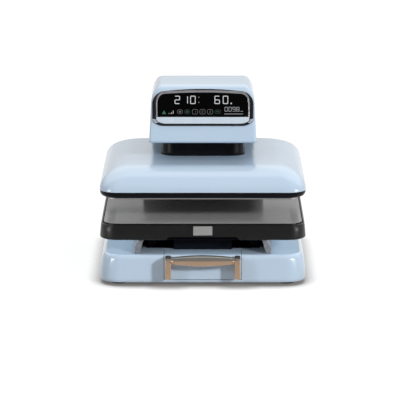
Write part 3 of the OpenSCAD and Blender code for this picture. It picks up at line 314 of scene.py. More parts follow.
def make_piece(name, patches, finish, body, stands_for=(), sharp=32.0):
    """Joins patches given in millimetres into one object at the origin, in metres."""
    points = np.concatenate([p for p, _ in patches]) * MM
    starts = np.cumsum([0] + [len(p) for p, _ in patches[:-1]]).tolist()
    faces = [[start + corner for corner in face] for start, (_, fs) in zip(starts, patches) for face in fs]
    mesh = bpy.data.meshes.new(name)
    mesh.from_pydata(points.tolist(), [], faces)
    shape = bmesh.new()
    shape.from_mesh(mesh)
    bmesh.ops.remove_doubles(shape, verts=shape.verts, dist=MERGE_REACH)
    bmesh.ops.dissolve_degenerate(shape, edges=shape.edges, dist=SLIVER_REACH)
    bmesh.ops.recalc_face_normals(shape, faces=shape.faces)
    shape.to_mesh(mesh)
    shape.free()
    mesh.shade_smooth()
    mesh.set_sharp_from_angle(angle=math.radians(sharp))
    mesh.materials.append(FINISHES[finish])
    piece = new_object(name, mesh)
    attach(piece, body)
    if stands_for:
        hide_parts(*stands_for)
    return piece


def ease_edges(piece, width, segments=3, angle=35.0):
    """Rounds the sharp edges of a piece by a bevel, width in millimetres."""
    bevel = piece.modifiers.new("eased_edges", "BEVEL")
    bevel.width = width * MM
    bevel.segments = segments
    bevel.limit_method = "ANGLE"
    bevel.angle_limit = math.radians(angle)
    bevel.harden_normals = True


def thicken(piece, wall):
    """Gives an open skin its wall, inwards, in millimetres."""
    solidify = piece.modifiers.new("wall", "SOLIDIFY")
    solidify.thickness = wall * MM
    solidify.offset = -1.0


def quarter(count):
    """Angles from 0 to 90 degrees, in radians."""
    return np.radians(np.linspace(0, 90, count))


def quarter_round(x, y, rx, ry, start, stop, steps=10):
    """Points on an elliptical arc, angles in degrees."""
    turn = np.radians(np.linspace(start, stop, steps + 1))
    return coords(x + rx * np.cos(turn), y + ry * np.sin(turn))


def corner_loop(left, right, low, high, corners, steps=CORNER_STEPS):
    """Closed outline of a box from its upper right corner round to the left. Each corner is a quarter
    ellipse, given as (radius x, radius y); the straight stretches run between them."""
    ways = ((right, high, -1, -1), (left, high, 1, -1), (left, low, 1, 1), (right, low, -1, 1))
    return np.concatenate([
        quarter_round(x + in_x * rx, y + in_y * ry, rx, ry, 90 * i, 90 * i + 90, steps)
        for i, ((x, y, in_x, in_y), (rx, ry)) in enumerate(zip(ways, corners))])


def rounded_loop(half_x, half_y, radius, low_radius=None, steps=CORNER_STEPS):
    """Rounded rectangle about the origin."""
    low = radius if low_radius is None else low_radius
    return corner_loop(-half_x, half_x, -half_y, half_y, [(radius, radius)] * 2 + [(low, low)] * 2, steps)


def rounded_rings(box, inset, radius, heights, steps=CORNER_STEPS, inset_y=None):
    """Rings of rounded rectangles, one for each height, drawn in from a solid's box by an inset; the inset
    and the corner's radius are one number or one per ring."""
    sizes = (box.high[0] - inset, box.half[1] - (inset if inset_y is None else inset_y), radius)
    sizes = [np.broadcast_to(np.asarray(size, float), (len(heights),)) for size in sizes]
    flat = np.stack([rounded_loop(x, y, r, None, steps) for x, y, r in zip(*sizes)])
    return coords(flat[..., 0], flat[..., 1] + box.middle[1], np.asarray(heights, float)[:, None])


def eased(count):
    """A quarter round of radius 1 from its foot up: how far it still has to go out, and how far up it is."""
    turn = quarter(count)
    return 1 - np.sin(turn), 1 - np.cos(turn)


def slab_skin(box, corner, low_ease, top_ease, count, steps, crown=0.0, crown_in=()):
    """A slab whose lower and upper edges are quarter rounds of low_ease and top_ease. Its top rises to the
    crown as a parabola over the insets of crown_in."""
    least_corner = 6.0
    left, risen = eased(count)
    inset = join(low_ease * left, top_ease * risen, crown_in)
    height = join(box.low[2] + low_ease * risen, box.high[2] - crown - top_ease * left,
        box.high[2] - crown * np.linspace(0.9, 0, len(crown_in)) ** 2)
    return loft(rounded_rings(box, inset, np.maximum(corner - inset, least_corner), height, steps))


def carried(profile, axis, low, high):
    """Two copies of an outline, at the ends of a run along X (axis 0) or Y (axis 1)."""
    outline = np.asarray(profile, float)
    return np.stack([np.insert(outline, axis, end, axis=1) for end in (low, high)])


def turned(profile, centre, upright=False, steps=40):
    """A profile of (place along, radius) points turned about a line along X, or an upright one."""
    turn = np.linspace(0, 2 * np.pi, steps, endpoint=False)
    along, radius = np.asarray(profile, float).T
    rings = coords(along[:, None], centre[0] + np.outer(radius, np.cos(turn)),
        centre[1] + np.outer(radius, np.sin(turn)))
    return loft(np.roll(rings, -1, axis=-1) if upright else rings)


# The base: one skin from the foot up, over the edge and across the deck to its opening

END_IN, END_RISE = 7.0, 11.0
SEAM = 0.8


def base_skin():
    """Rings at rising heights. The foot is rounded 3.5 by 8; the sides follow an ellipse 12 by 46 up to the
    deck, the front and back one 7 by 11. Above the sill the front edge steps in round the drawer front; the
    deck is a strip from the top ring to its nearest points on the opening's edge."""
    side_in, side_foot = 12.0, 12.0
    side_rise = DECK_Z - base.low[2] - side_foot
    foot_in, foot_rise, inner_rise = 3.5, 8.0, 6.0
    corner, sill_step = 42.0, 0.01
    notch_half, notch_back, sill = drawer.high[0] + SEAM, drawer.high[1] + SEAM, drawer.low[2] - SEAM
    opening_half, opening_front, opening_back = 118.0, FRONT_Y + 67.0, BACK_Y - 14.0
    middle_y, half_x, half_y = base.middle[1], base.high[0], base.half[1]
    climb = np.sin(quarter(15))
    heights = np.unique(join(
        base.low[2] + foot_rise * (1 - climb), [sill, sill + sill_step], DECK_Z - side_rise * (1 - climb),
        DECK_Z - END_RISE * (1 - climb)).round(3))

    def drawn_in(inset, rise):
        """How far an edge of this size is drawn in at each height, upwards to the deck."""
        lift = np.clip((heights - DECK_Z + rise) / rise, 0, 1)
        return inset * (1 - np.sqrt(1 - lift ** 2))

    drop = np.clip((base.low[2] + foot_rise - heights) / foot_rise, 0, 1)
    foot = foot_in * (1 - np.sqrt(1 - drop ** 2))
    inset_x = drawn_in(side_in, side_rise) + foot
    inset_y = drawn_in(END_IN, END_RISE) + foot
    rings = rounded_rings(base, inset_x, corner - inset_y, heights, inset_y=inset_y)
    front = FRONT_Y + inset_y
    inner = np.where(heights > sill, notch_back, front)
    corners = ((-notch_half, front), (-notch_half, inner), (notch_half, inner), (notch_half, front))
    notch = np.stack([coords(x, y, heights) for x, y in corners], axis=1)
    before_notch = 3 * (CORNER_STEPS + 1)
    rings = np.concatenate([rings[:, :before_notch], notch, rings[:, before_notch:]], axis=1)
    under_edge = rings[:1].copy()
    under_edge[..., 0] *= 1 - SHELL_WALL / half_x
    under_edge[..., 1] = middle_y + (under_edge[..., 1] - middle_y) * (1 - SHELL_WALL / half_y)
    under_top = under_edge + [0, 0, inner_rise]
    edge = rings[-1:].copy()
    edge[..., 0] = np.clip(edge[..., 0], -opening_half, opening_half)
    edge[..., 1] = np.clip(edge[..., 1], opening_front, opening_back)
    under = edge.copy()
    under[..., 2] = DECK_Z - SHELL_WALL
    return grid(join(under_top, under_edge, rings, edge, under), close_columns=True)


base_piece = make_piece("base_shell_skin", [base_skin()], "shell_blue", "frame", ["base_shell"], sharp=30)
ease_edges(base_piece, 0.7, 2, 50)


# The drawer front: the same edge as the base, carried across between its two seams

def drawer_front_skin():
    """The base's front edge as an outline in Y and Z, carried along X; open below."""
    edge = quarter_round(FRONT_Y + END_IN, DECK_Z - END_RISE, END_IN, END_RISE, 180, 90, 14)
    outline = join([[FRONT_Y, drawer.low[2]]], edge,
        [[drawer.high[1], DECK_Z], [drawer.high[1], drawer.low[2]]])
    points, faces = grid(carried(outline, 0, drawer.low[0], drawer.high[0]))
    count = len(outline)
    return points, faces + [list(range(count)), list(range(count, 2 * count))[::-1]]


drawer_piece = make_piece("drawer_front_skin", [drawer_front_skin()], "shell_blue", "drawer",
    ["drawer_front"])
thicken(drawer_piece, SHELL_WALL)
ease_edges(drawer_piece, 0.6, 2, 50)


# The handle: two flat posts with rounded feet, and a spindle bar between collars

def handle_post(middle_x):
    """The post's side outline in Y and Z: eased top, rounded foot."""
    ease, foot = 4.0, 12.0
    y0, y1 = post.low[1], FRONT_Y
    z0, z1 = post.low[2], post.high[2]
    outline = join(
        [[y1, z0 + ease], [y1, z1 - ease]],
        quarter_round(y1 - ease, z1 - ease, ease, ease, 0, 90, 5),
        quarter_round(y0 + ease, z1 - ease, ease, ease, 90, 180, 5),
        quarter_round(y0 + foot, z0 + foot, foot, foot, 180, 270, 8))
    half = (post.half[0] - bar.half[0]) / 2
    return loft(carried(outline, 0, middle_x - half, middle_x + half))


post_x = (post.high[0] + bar.high[0]) / 2
posts = make_piece("handle_posts_eased", [handle_post(-post_x), handle_post(post_x)], "copper", "drawer",
    ["handle_posts"])
ease_edges(posts, 2.2, 4, 40)


def handle_spindle():
    """Radius against x: a parabola from the end radius to the middle radius, with a collar at each end."""
    half, middle_r = bar.high[0], bar.half[2]
    end_r, collar_r, collar_w, collar_gap = 7.0, 8.6, 3.6, 1.2
    tip_r = 0.01
    reach = half - collar_w - collar_gap
    x = np.linspace(-reach, reach, 61)
    radius = end_r + (middle_r - end_r) * (1 - (x / half) ** 2)
    swell = quarter_round(0, 0, collar_w / 2, collar_r - end_r, 0, 180, 8)
    left = coords(-half + collar_w / 2 - swell[:, 0], end_r + swell[:, 1])
    right = coords(half - collar_w / 2 - swell[:, 0], end_r + swell[:, 1])
    profile = join([[-half, tip_r], [-half, end_r]], left[1:], coords(x, radius), right[:-1],
        [[half, end_r], [half, tip_r]])
    order = np.argsort(profile[:, 0], kind="stable")
    return turned(profile[order], bar.middle[1:])


make_piece("handle_bar_spindle", [handle_spindle()], "copper", "drawer", ["handle_bar"], sharp=50)


# The lower tray with its pad and bare plate

def tray_skin():
    """Rings up the tray's side: a rounded foot, then drawn in, straight in the middle and as a parabola at
    the corners, then down into the pad's seat.
    The notch lifts the foot where |x| is under its half width, with sloping ends."""
    foot_r, under_in, draft, corner = 3.5, 11.0, 2.5, 38.0
    seat_in, seat_ease, seat_deep = 4.0, 0.6, 3.0
    notch_half, notch_rise, notch_deep = 76.5, 6.6, 12.0
    lip_r, wall, floor_share = 1.6, 13.0, 0.93
    corner_steps, front_steps = 36, 121
    low, high, middle_y = tray.low[2], tray.high[2], tray.middle[1]
    foot_left, foot_risen = eased(9)
    lip_left, lip_risen = eased(5)
    rise = np.linspace(0, 1, 12)[:-1]
    up = high - lip_r - wall * (1 - rise)
    height = join([low], low + foot_r * foot_risen, up, high - lip_r * lip_left,
        [high, high - seat_ease, pad.low[2] - seat_deep])

    def side_rings(drawn):
        """The rings for one law of how far the upper side is drawn in."""
        seat = draft + seat_in
        inset = join([under_in], foot_r * foot_left, drawn, draft + lip_r * lip_risen,
            [seat - seat_ease, seat, seat])
        return rounded_rings(tray, inset, corner - inset, height, corner_steps)

    rings = side_rings(draft * (up - low - foot_r) / (high - lip_r - low - foot_r))
    bulge = np.tile(np.sin(np.linspace(0, np.pi, corner_steps + 1)), 4)[None, :, None]
    rings = rings + (side_rings(draft * rise ** 2) - rings) * bulge
    start = 3 * (corner_steps + 1)
    left, right = rings[:, start - 1:start], rings[:, start:start + 1]
    run = left + (right - left) * np.linspace(0, 1, front_steps)[None, 1:-1, None]
    rings = np.concatenate([rings[:, :start], run, rings[:, start:]], axis=1)
    slope = np.clip((notch_half - np.abs(rings[..., 0])) / notch_rise, 0, 1)
    raised = np.where(rings[..., 1] < tray.low[1] + notch_deep, low + notch_rise * slope, low)
    rings[..., 2] = np.maximum(rings[..., 2], raised)
    floor = rings[:1].copy()
    floor[..., 0] *= floor_share
    floor[..., 1] = middle_y + (floor[..., 1] - middle_y) * floor_share
    floor[..., 2] = low
    return loft(join(floor, rings))


make_piece("lower_tray_skin", [tray_skin()], "tray_black", "drawer", ["lower_tray"], sharp=40)


# A slab of silicone with soft edges, crowned by under a millimetre towards its middle
pad_slab = slab_skin(pad, corner=30.0, low_ease=0.5, top_ease=1.0, count=8, steps=16, crown=0.4,
    crown_in=np.linspace(8, 30, 8))
pad_piece = make_piece("silicone_pad_soft", [pad_slab], "silicone_grey", "drawer", ["silicone_pad"], sharp=60)
pad_piece.data.materials.append(FINISHES["tray_black"])
UPWARD = 0.6
facing = np.empty(3 * len(pad_piece.data.polygons))
pad_piece.data.polygons.foreach_get("normal", facing)
pad_piece.data.polygons.foreach_set("material_index", (facing[2::3] < UPWARD).astype(np.int32))


def badge_skin():
    """A bare thin plate that leans with the tray's front, its corners rounded."""
    thick, corner = 1.0, 1.2
    lean = badge.high[1] - badge.low[1] - thick
    rise = badge.high[2] - badge.low[2]
    loop = rounded_loop(badge.high[0], rise / 2, corner)
    up = (loop[:, 1] + rise / 2) / rise
    back = coords(loop[:, 0], badge.low[1] + thick + lean * up, badge.low[2] + rise * up)
    return loft(np.stack([back, back - [0, thick, 0]]))


badge_piece = make_piece("badge_plate_bare", [badge_skin()], "badge_silver", "drawer", ["badge_plate"])
ease_edges(badge_piece, 0.25, 2)


# Cast brackets between the tray and the deck

def bracket_skin(side):
    """The bracket's section in X and Z, leaning out to its upright heel, carried along Y."""
    top_in, top_out, foot_in, heel, sled_t = 122.5, 131.5, 130.0, 12.0, 3.0
    low, high = bracket.low, bracket.high
    section = np.array([(foot_in, low[2]), (high[0], low[2]), (high[0], low[2] + heel), (top_out, high[2]),
        (low[0], high[2]), (low[0], high[2] - sled_t), (top_in, high[2] - sled_t)])
    return loft(carried(section * [side, 1], 1, low[1], high[1]))


for side, name in ((-1, "left"), (1, "right")):
    bracket_piece = make_piece("tray_bracket_%s_cast" % name, [bracket_skin(side)], "bracket_grey", "drawer",
        ["tray_bracket_" + name])
    ease_edges(bracket_piece, 1.8, 4)


# The heated dome, its rim and its plate

DOME_CORNER = 38.0
DOME_STEPS = 16


def dome_skin():
    """Rings over the edge, an ellipse 64 by 46 from the skirt to the crown, to the neck's hole; then the
    same rings drawn in by the wall, so that the shell is closed."""
    edge, skirt = 64.0, 1.0
    hole_in, hole_corner = 8.5, 22.0
    rise = dome.high[2] - dome.low[2] - skirt

    def shell_rings(wall, count):
        """The edge's rings from the foot to the crown, drawn in by the wall."""
        turn = quarter(count)
        inset = join([wall], edge - (edge - wall) * np.cos(turn))
        height = join([dome.low[2]], dome.high[2] - rise + (rise - wall) * np.sin(turn))
        return rounded_rings(dome, inset, DOME_CORNER, height, DOME_STEPS)

    throat = rounded_rings(neck, hole_in, hole_corner, [dome.high[2], dome.high[2] - SHELL_WALL], DOME_STEPS)
    return ring_skin(join(shell_rings(0.0, 30), throat, shell_rings(SHELL_WALL, 14)[::-1]))


make_piece("dome_shell_skin", [dome_skin()], "shell_blue", "press_head", ["dome_shell"], sharp=40)


def rim_skin():
    """The black rim: its outer side curls in under the dome, its inner side stands round the plate."""
    start, draw, gap, inner_corner = 0.5, 8.5, 2.0, 14.0
    turn = quarter(10)
    inset = start + draw * (1 - np.cos(turn))
    height = rim.high[2] - (rim.high[2] - rim.low[2]) * np.sin(turn)
    outer = rounded_rings(dome, inset, DOME_CORNER - inset / 2, height, DOME_STEPS)
    inner = rounded_rings(plate, -gap, inner_corner, [rim.low[2], rim.high[2]], DOME_STEPS)
    return ring_skin(join(outer, inner))


make_piece("dome_rim_curled", [rim_skin()], "black_plastic", "press_head", ["dome_rim"], sharp=40)
plate_slab = slab_skin(plate, corner=12.0, low_ease=1.2, top_ease=0.5, count=7, steps=CORNER_STEPS)
make_piece("heat_plate_machined", [plate_slab], "aluminium", "press_head", ["heat_plate"], sharp=60)


# The neck sleeve with its flared foot

def neck_skin():
    """Upright rounded walls; the foot flares by 2.5 with a bead; the wall turns over at the top."""
    flare, wall, bead, corner = 2.5, 2.5, 3.5, 28.0
    foot_ease, top_ease = 0.6, 0.8
    z0, z1 = neck.low[2], neck.high[2]
    left, risen = eased(8)
    out = join(flare - foot_ease * left, flare * left, [0.0, -top_ease, -wall, -wall])
    height = join(z0 + foot_ease * risen, z0 + bead + flare * risen, [z1 - top_ease, z1, z1, z0])
    return ring_skin(rounded_rings(neck, flare - out, corner + out, height, 20))


make_piece("neck_sleeve_skin", [neck_skin()], "black_plastic", "press_head", ["neck_sleeve"], sharp=40)


# The head and its arm

HEAD_DRAFT, SHOULDER_A, SHOULDER_B = 4.3, 22.0, 40.0
SHOULDER_FLAT = HEAD_HALF - HEAD_DRAFT - SHOULDER_A
HEAD_FALL = math.radians(2)
ARM_SLOPE = math.radians(12)
ARM_BREAK_Y = PRESS_Y + 16.0
ARM_BEND_R = 80.0
ARM_HEEL_R = 45.0
BEND_FRONT_Y = ARM_BREAK_Y - ARM_BEND_R * math.sin(HEAD_FALL)
BEND_BACK_Y = ARM_BREAK_Y + ARM_BEND_R * math.sin(ARM_SLOPE)
BACK_CORNER_R, BROW_R, CHIN_R, SIDE_EDGE_R, FOOT_R = 8.0, 12.0, 7.0, 6.0, 6.0
WINDOW_TOP_R, WINDOW_LOW_R = 17.0, 8.0


def on_panel(flat, out):
    """Places on the leaning panel: points of (across, up along the panel), moved out of it."""
    lean_y, lean_z = math.sin(PANEL_LEAN), math.cos(PANEL_LEAN)
    x, up = flat[..., 0], flat[..., 1]
    return coords(x, HEAD_FRONT_Y + up * lean_y - out * lean_z, HEAD_Z + up * lean_z + out * lean_y)


def ridge(y):
    """Height of the ridge at y: rising gently from the brow, bent by an arc, sloping down to the back; and
    the height after the quarter round at the heel."""
    centre_z = HEAD_TOP - ARM_BEND_R

    def slope(place):
        """The sloping part's height at a place."""
        return centre_z + ARM_BEND_R * math.cos(ARM_SLOPE) - (place - BEND_BACK_Y) * math.tan(ARM_SLOPE)

    rise = centre_z + ARM_BEND_R * math.cos(HEAD_FALL) - (BEND_FRONT_Y - y) * math.tan(HEAD_FALL)
    arc = centre_z + np.sqrt(np.maximum(ARM_BEND_R ** 2 - (y - ARM_BREAK_Y) ** 2, 0))
    line = np.where(y < BEND_FRONT_Y, rise, np.where(y < BEND_BACK_Y, arc, slope(y)))
    heel_y = BACK_Y - ARM_HEEL_R
    heel = slope(heel_y) - ARM_HEEL_R / math.cos(ARM_SLOPE) + np.sqrt(
        np.maximum(ARM_HEEL_R ** 2 - (y - heel_y) ** 2, 0))
    return line, np.where(y > heel_y + ARM_HEEL_R * math.sin(ARM_SLOPE), heel, line)


def head_section(y, narrow=0.0):
    """Outline of the head at y from its right foot over the ridge to its left foot: an eased foot, a drafted
    side, then an elliptical shoulder whose height shrinks with the heel; narrow draws the sides in."""
    line, top = ridge(y)
    high = SHOULDER_B * (top - HEAD_Z) / (line - HEAD_Z)
    start = top - high
    draft = HEAD_DRAFT * np.clip((start - HEAD_Z) / (HEAD_TOP - SHOULDER_B - HEAD_Z), 0, 1)
    side_x = HEAD_HALF - draft - narrow
    left, risen = eased(9)
    foot = coords(HEAD_HALF - narrow - FOOT_R * left, HEAD_Z + FOOT_R * risen)
    lift = np.linspace(0.15, 1, 7)[:-1]
    side = coords(HEAD_HALF - narrow - draft * lift, HEAD_Z + (start - HEAD_Z) * lift)
    flat = SHOULDER_FLAT - narrow
    shoulder = quarter_round(flat, start, side_x - flat, high, 0, 90, 30)
    crown = coords(np.linspace(flat, 0, 7)[1:], top)
    half = join(foot, side, shoulder, crown)
    return join(half, half[-2::-1] * [-1, 1])


def head_skin():
    """Front: a strip from the window's edge to the outline, then a quarter round back to the full outline.
    Behind it: the outline carried back along the ridge, its lean fading, down the slope, round the heel."""
    lean, edge_in, lap, after_bend, before_heel = math.tan(PANEL_LEAN), 0.8, 0.5, 40.0, 8.0
    brow_y = HEAD_FRONT_Y + (HEAD_TOP - HEAD_Z) * lean + BROW_R
    over = head_section(brow_y)
    foot = coords(np.linspace(over[-1, 0], over[0, 0], 40)[1:-1], HEAD_Z)
    outline = join(over, foot)
    step = np.roll(outline, -1, axis=0) - np.roll(outline, 1, axis=0)
    normal = coords(step[:, 1], -step[:, 0]) / np.linalg.norm(step, axis=1, keepdims=True)
    end_r = np.where(normal[:, 1] > 0, BROW_R, CHIN_R)
    edge = SIDE_EDGE_R + (end_r - SIDE_EDGE_R) * np.abs(normal[:, 1])

    def front_ring(angle, more=0.0):
        """The outline drawn in for an angle round its eased edge, on the leaning panel."""
        shrink = 1 - math.sin(angle)
        flat = outline - normal * (edge * shrink + more)[:, None]
        side = HEAD_HALF - SIDE_EDGE_R * shrink - more
        x = np.clip(flat[:, 0], -side, side)
        z = np.maximum(flat[:, 1], HEAD_Z + CHIN_R * shrink + more)
        y = HEAD_FRONT_Y + (z - HEAD_Z) * lean + edge * (1 - math.cos(angle))
        return coords(x, y, z)

    rings = [front_ring(0.0, edge_in)] + [front_ring(angle) for angle in quarter(10)]
    corners = rounded_loop(WINDOW_HALF + lap, (WINDOW_HIGH - WINDOW_LOW) / 2 + lap, WINDOW_TOP_R,
        WINDOW_LOW_R, 40)
    corners = join(corners, corners[:1])
    share = np.arange(0, len(corners) - 1, 0.02)
    window = [np.interp(share, np.arange(len(corners)), corners[:, axis]) for axis in (0, 1)]
    middle = (WINDOW_LOW + WINDOW_HIGH) / 2
    bearing = np.unwrap(np.arctan2(window[1], window[0]))
    sight = np.arctan2((rings[0][:, 2] - HEAD_Z) / math.cos(PANEL_LEAN) - middle, rings[0][:, 0])
    reach = np.interp(sight, bearing, np.hypot(*window), period=2 * np.pi)
    window_edge = coords(reach * np.cos(sight), middle + reach * np.sin(sight))
    front = grid(np.stack([on_panel(window_edge, 0.0)] + rings), close_columns=True)
    first = rings[-1][:len(over)]
    rows = [first]
    for share in np.linspace(0, 1, 9)[1:]:
        y_ridge = brow_y + (BEND_FRONT_Y - brow_y) * share
        back = first[:, 1] + (y_ridge - first[:, 1]) * share
        rows.append(np.insert(head_section(y_ridge), 1, back, axis=1))
    heel = BACK_Y - ARM_HEEL_R * (1 - np.sin(np.radians(np.linspace(12, 90, 20))))
    stations = join(ARM_BREAK_Y + ARM_BEND_R * np.sin(np.radians(np.linspace(-1, 12, 9))),
        np.linspace(ARM_BREAK_Y + after_bend, heel[0] - before_heel, 10), heel)
    for y in stations:
        near = max(y - (BACK_Y - BACK_CORNER_R), 0.0)
        across = head_section(y, BACK_CORNER_R - math.sqrt(max(BACK_CORNER_R ** 2 - near ** 2, 0.0)))
        rows.append(np.insert(across, 1, y, axis=1))
    return [front, grid(np.stack(rows)), (rows[-1], [list(range(len(rows[-1])))])]


make_piece("head_shell_skin", head_skin(), "shell_blue", "frame", ["head_shell"], sharp=38)


# The column's rear cover: side, rounded corner, back, in one grid with the openings left out

def column_skin():
    """Columns of points run from one front edge round the back to the other; rows rise from the deck.
    Cells inside a slot or a cut-out are dropped."""
    shoulder_low, shoulder_high = dome.low[2] + 9.0, dome.high[2] - 11.0
    wide, wide_r = column.high[0], 24.0
    front_y, flat_half, flush = column.low[1], 90.0, 0.001
    inlet_cut = (-60.3, -29.7, 90.8, 113.2)
    rocker_cut = (0.8, 19.2, 88.8, 115.2)
    vent_half, vent_h, vent_drop, vent_pitch, vent_count = 35.0, 4.0, 8.0, 12.0, 7
    vent_z = shoulder_low - vent_drop - vent_pitch * np.arange(vent_count)
    vents = [(-vent_half, vent_half, z - vent_h / 2, z + vent_h / 2) for z in vent_z]
    holes = np.array([inlet_cut, rocker_cut] + vents)
    xs = np.unique(join([-flat_half, flat_half], holes[:, 0], holes[:, 1]))
    ease = shoulder_low + (shoulder_high - shoulder_low) * (1 - np.cos(np.linspace(0, np.pi, 13))) / 2
    zs = np.unique(join([column.low[2], column.high[2]], holes[:, 2], holes[:, 3], ease))
    share = np.clip((zs - shoulder_low) / (shoulder_high - shoulder_low), 0, 1)
    half = wide + (HEAD_HALF - wide) * share
    corner = wide_r + (BACK_CORNER_R - wide_r) * share
    back = coords(xs[::-1], BACK_Y)
    rows = []
    for w, r, z in zip(half, corner, zs):
        right = quarter_round(w - r, BACK_Y - r, r, r, 0, 90)
        plan = join([[w, front_y]], right, back, right[::-1] * [-1, 1], [[-w, front_y]])
        rows.append(np.insert(plan, 2, z, axis=1))
    points, faces = grid(np.stack(rows))
    faces = np.array(faces)
    middle = points[faces].mean(axis=1)
    on_back = np.abs(middle[:, 1] - BACK_Y) < flush
    x, z = middle[:, 0, None], middle[:, 2, None]
    inside = ((x > holes[:, 0]) & (x < holes[:, 1]) & (z > holes[:, 2]) & (z < holes[:, 3])).any(axis=1)
    return points, faces[~(on_back & inside)].tolist()


column_piece = make_piece("column_rear_skin", [column_skin()], "shell_blue", "frame", ["column_rear_cover"],
    sharp=38)
thicken(column_piece, SHELL_WALL)


# The display: bezel, glass, keys and lit figures

RING_ACROSS = (0.0, 0.04, 0.12, 0.25, 0.4, 0.55, 0.7, 0.82, 0.92, 1.0)
RING_HEIGHT = (1.2, 1.9, 2.5, 2.9, 3.0, 2.9, 2.6, 2.3, 2.05, 1.9)
BEZEL_STEPS = 24
BEZEL_RUN = 20
TOP_BOW = 8.0
WINDOW_BOW = 5.0


def bowed_loop(half, low, high, top_r, foot_x, foot_up, bow):
    """A rounded outline, its lower corners quarter ellipses, its upper edge bowed as a parabola in x."""
    loop = corner_loop(-half, half, low, high, [(top_r, top_r)] * 2 + [(foot_x, foot_up)] * 2, BEZEL_STEPS)
    n = BEZEL_STEPS + 1
    share = np.linspace(0, 1, BEZEL_RUN + 2)[1:-1, None]
    top = loop[n - 1] + (loop[n] - loop[n - 1]) * share
    foot = loop[3 * n - 1] + (loop[3 * n] - loop[3 * n - 1]) * share
    loop = join(loop[:n], top, loop[n:3 * n], foot, loop[3 * n:])
    upper = np.clip((loop[:, 1] - low - foot_up) / (high - top_r - low - foot_up), 0, 1)
    loop[:, 1] -= bow * upper * (loop[:, 0] / BEZEL_HALF) ** 2
    return loop


# The bezel's outline and the window's, point for point
bezel_outer = bowed_loop(BEZEL_HALF, BEZEL_LOW, BEZEL_HIGH, 24.0, 26.0, 15.0, TOP_BOW)
bezel_inner = bowed_loop(WINDOW_HALF, WINDOW_LOW, WINDOW_HIGH, WINDOW_TOP_R, 20.4, 9.4, WINDOW_BOW)


def bezel_skin():
    """A ring from the bezel's outline to the window's, crowned out of the panel, its sides turned back."""
    rings = [on_panel(bezel_outer + (bezel_inner - bezel_outer) * across, out)
        for across, out in zip((0.0, *RING_ACROSS, 1.0), (-0.2, *RING_HEIGHT, -0.4))]
    return ring_skin(np.stack(rings))


make_piece("display_bezel_ring", [bezel_skin()], "bezel_dark", "frame", ["display_bezel"], sharp=50)


def bead_skin():
    """A half-round bead up one side of the window, over its top and down the other side: narrow on the
    glass at the sides, where it is the ring's silver inner line, and broad and flat on the ring at the top,
    where it bows with the bezel and stands for the sky mirrored in the ring's top: a painted reflection. Its
    inward and outward reach and its swell run from the side's value to the top's."""
    r, sunk = WINDOW_TOP_R, 0.25
    right = quarter_round(WINDOW_HALF - r, WINDOW_HIGH - r, r, r, 0, 90, BEZEL_STEPS)
    run = np.linspace(1, -1, 21)[1:-1, None] * [WINDOW_HALF - r, 0] + [0, WINDOW_HIGH]
    foot = np.array([[WINDOW_HALF, GLASS_LOW + 0.2]])
    path = join(foot, right, run, right[::-1] * [-1, 1], foot * [-1, 1])
    climb = np.sin(quarter(BEZEL_STEPS + 1))
    up = join([0.0], climb, np.ones(len(run)), climb[::-1], [0.0])
    normal = coords(np.sign(path[:, 0]) * np.sqrt(1 - up ** 2), up)
    path[1:-1, 1] -= WINDOW_BOW * (path[1:-1, 0] / BEZEL_HALF) ** 2
    # At the sides the bead is the silver inner line; its broad top is a painted reflection of the bright sky.
    sides, tops = np.array([2.7, 0.3, 1.2]), np.array([0.6, 4.9, 0.45])
    inward, outward, swell = (sides + (tops - sides) * up[:, None] ** 2).T[..., None]
    u = np.cos(np.radians(np.linspace(180, 0, 13)))
    offset = (outward - inward) / 2 + (outward + inward) / 2 * u
    across = 1 - offset / (BEZEL_HIGH - WINDOW_HIGH)
    out = np.interp(np.clip(across, 0, 1), RING_ACROSS, RING_HEIGHT) - sunk + swell * np.sqrt(1 - u ** 2)
    return loft(on_panel(path[:, None, :] + normal[:, None, :] * offset[..., None], out))


make_piece("display_bezel_bead", [bead_skin()], "bezel_bright", "frame", sharp=50)


def bezel_corner(side):
    """A silvery cheek over the ring's lower corner: the ring's own crown, lifted a little."""
    first, count = 2 * (BEZEL_STEPS + 1) + BEZEL_RUN, 12
    swell, sunk = 0.22, 0.04
    outer, inner = bezel_outer[first:first + count, None], bezel_inner[first:first + count, None]
    across = np.linspace(0.03, 0.9, 9)
    lifted = np.interp(across, RING_ACROSS, RING_HEIGHT) + swell * np.sin(np.linspace(0, np.pi, 9)) - sunk
    return loft(on_panel((outer + (inner - outer) * across[None, :, None]) * [side, 1], lifted))


make_piece("display_bezel_cheeks", [bezel_corner(1), bezel_corner(-1)], "cheek_silver", "frame",
    sharp=50)


def panel_slab(loop, back, front, ease):
    """A flat outline on the panel run out from back to front, its front edge eased."""
    middle = loop.mean(axis=0)
    size = np.abs(loop - middle).max(axis=0)
    rings = [on_panel(loop, back)]
    for angle in quarter(5):
        shrunk = middle + (loop - middle) * (1 - ease * (1 - math.cos(angle)) / size)
        rings.append(on_panel(shrunk, front - ease * (1 - math.sin(angle))))
    return loft(np.stack(rings))


def glass_loop():
    """The window's upper part, above the keys."""
    half, high = WINDOW_HALF - RUNNING_GAP, WINDOW_HIGH - RUNNING_GAP
    r, low_r = WINDOW_TOP_R - RUNNING_GAP, 0.6
    return corner_loop(-half, half, GLASS_LOW, high, [(r, r)] * 2 + [(low_r, low_r)] * 2, 16)


make_piece("display_glass_pane", [panel_slab(glass_loop(), -SHELL_WALL, GLASS_FRONT, 0.3)], "display_black",
    "frame", ["display_glass"], sharp=50)


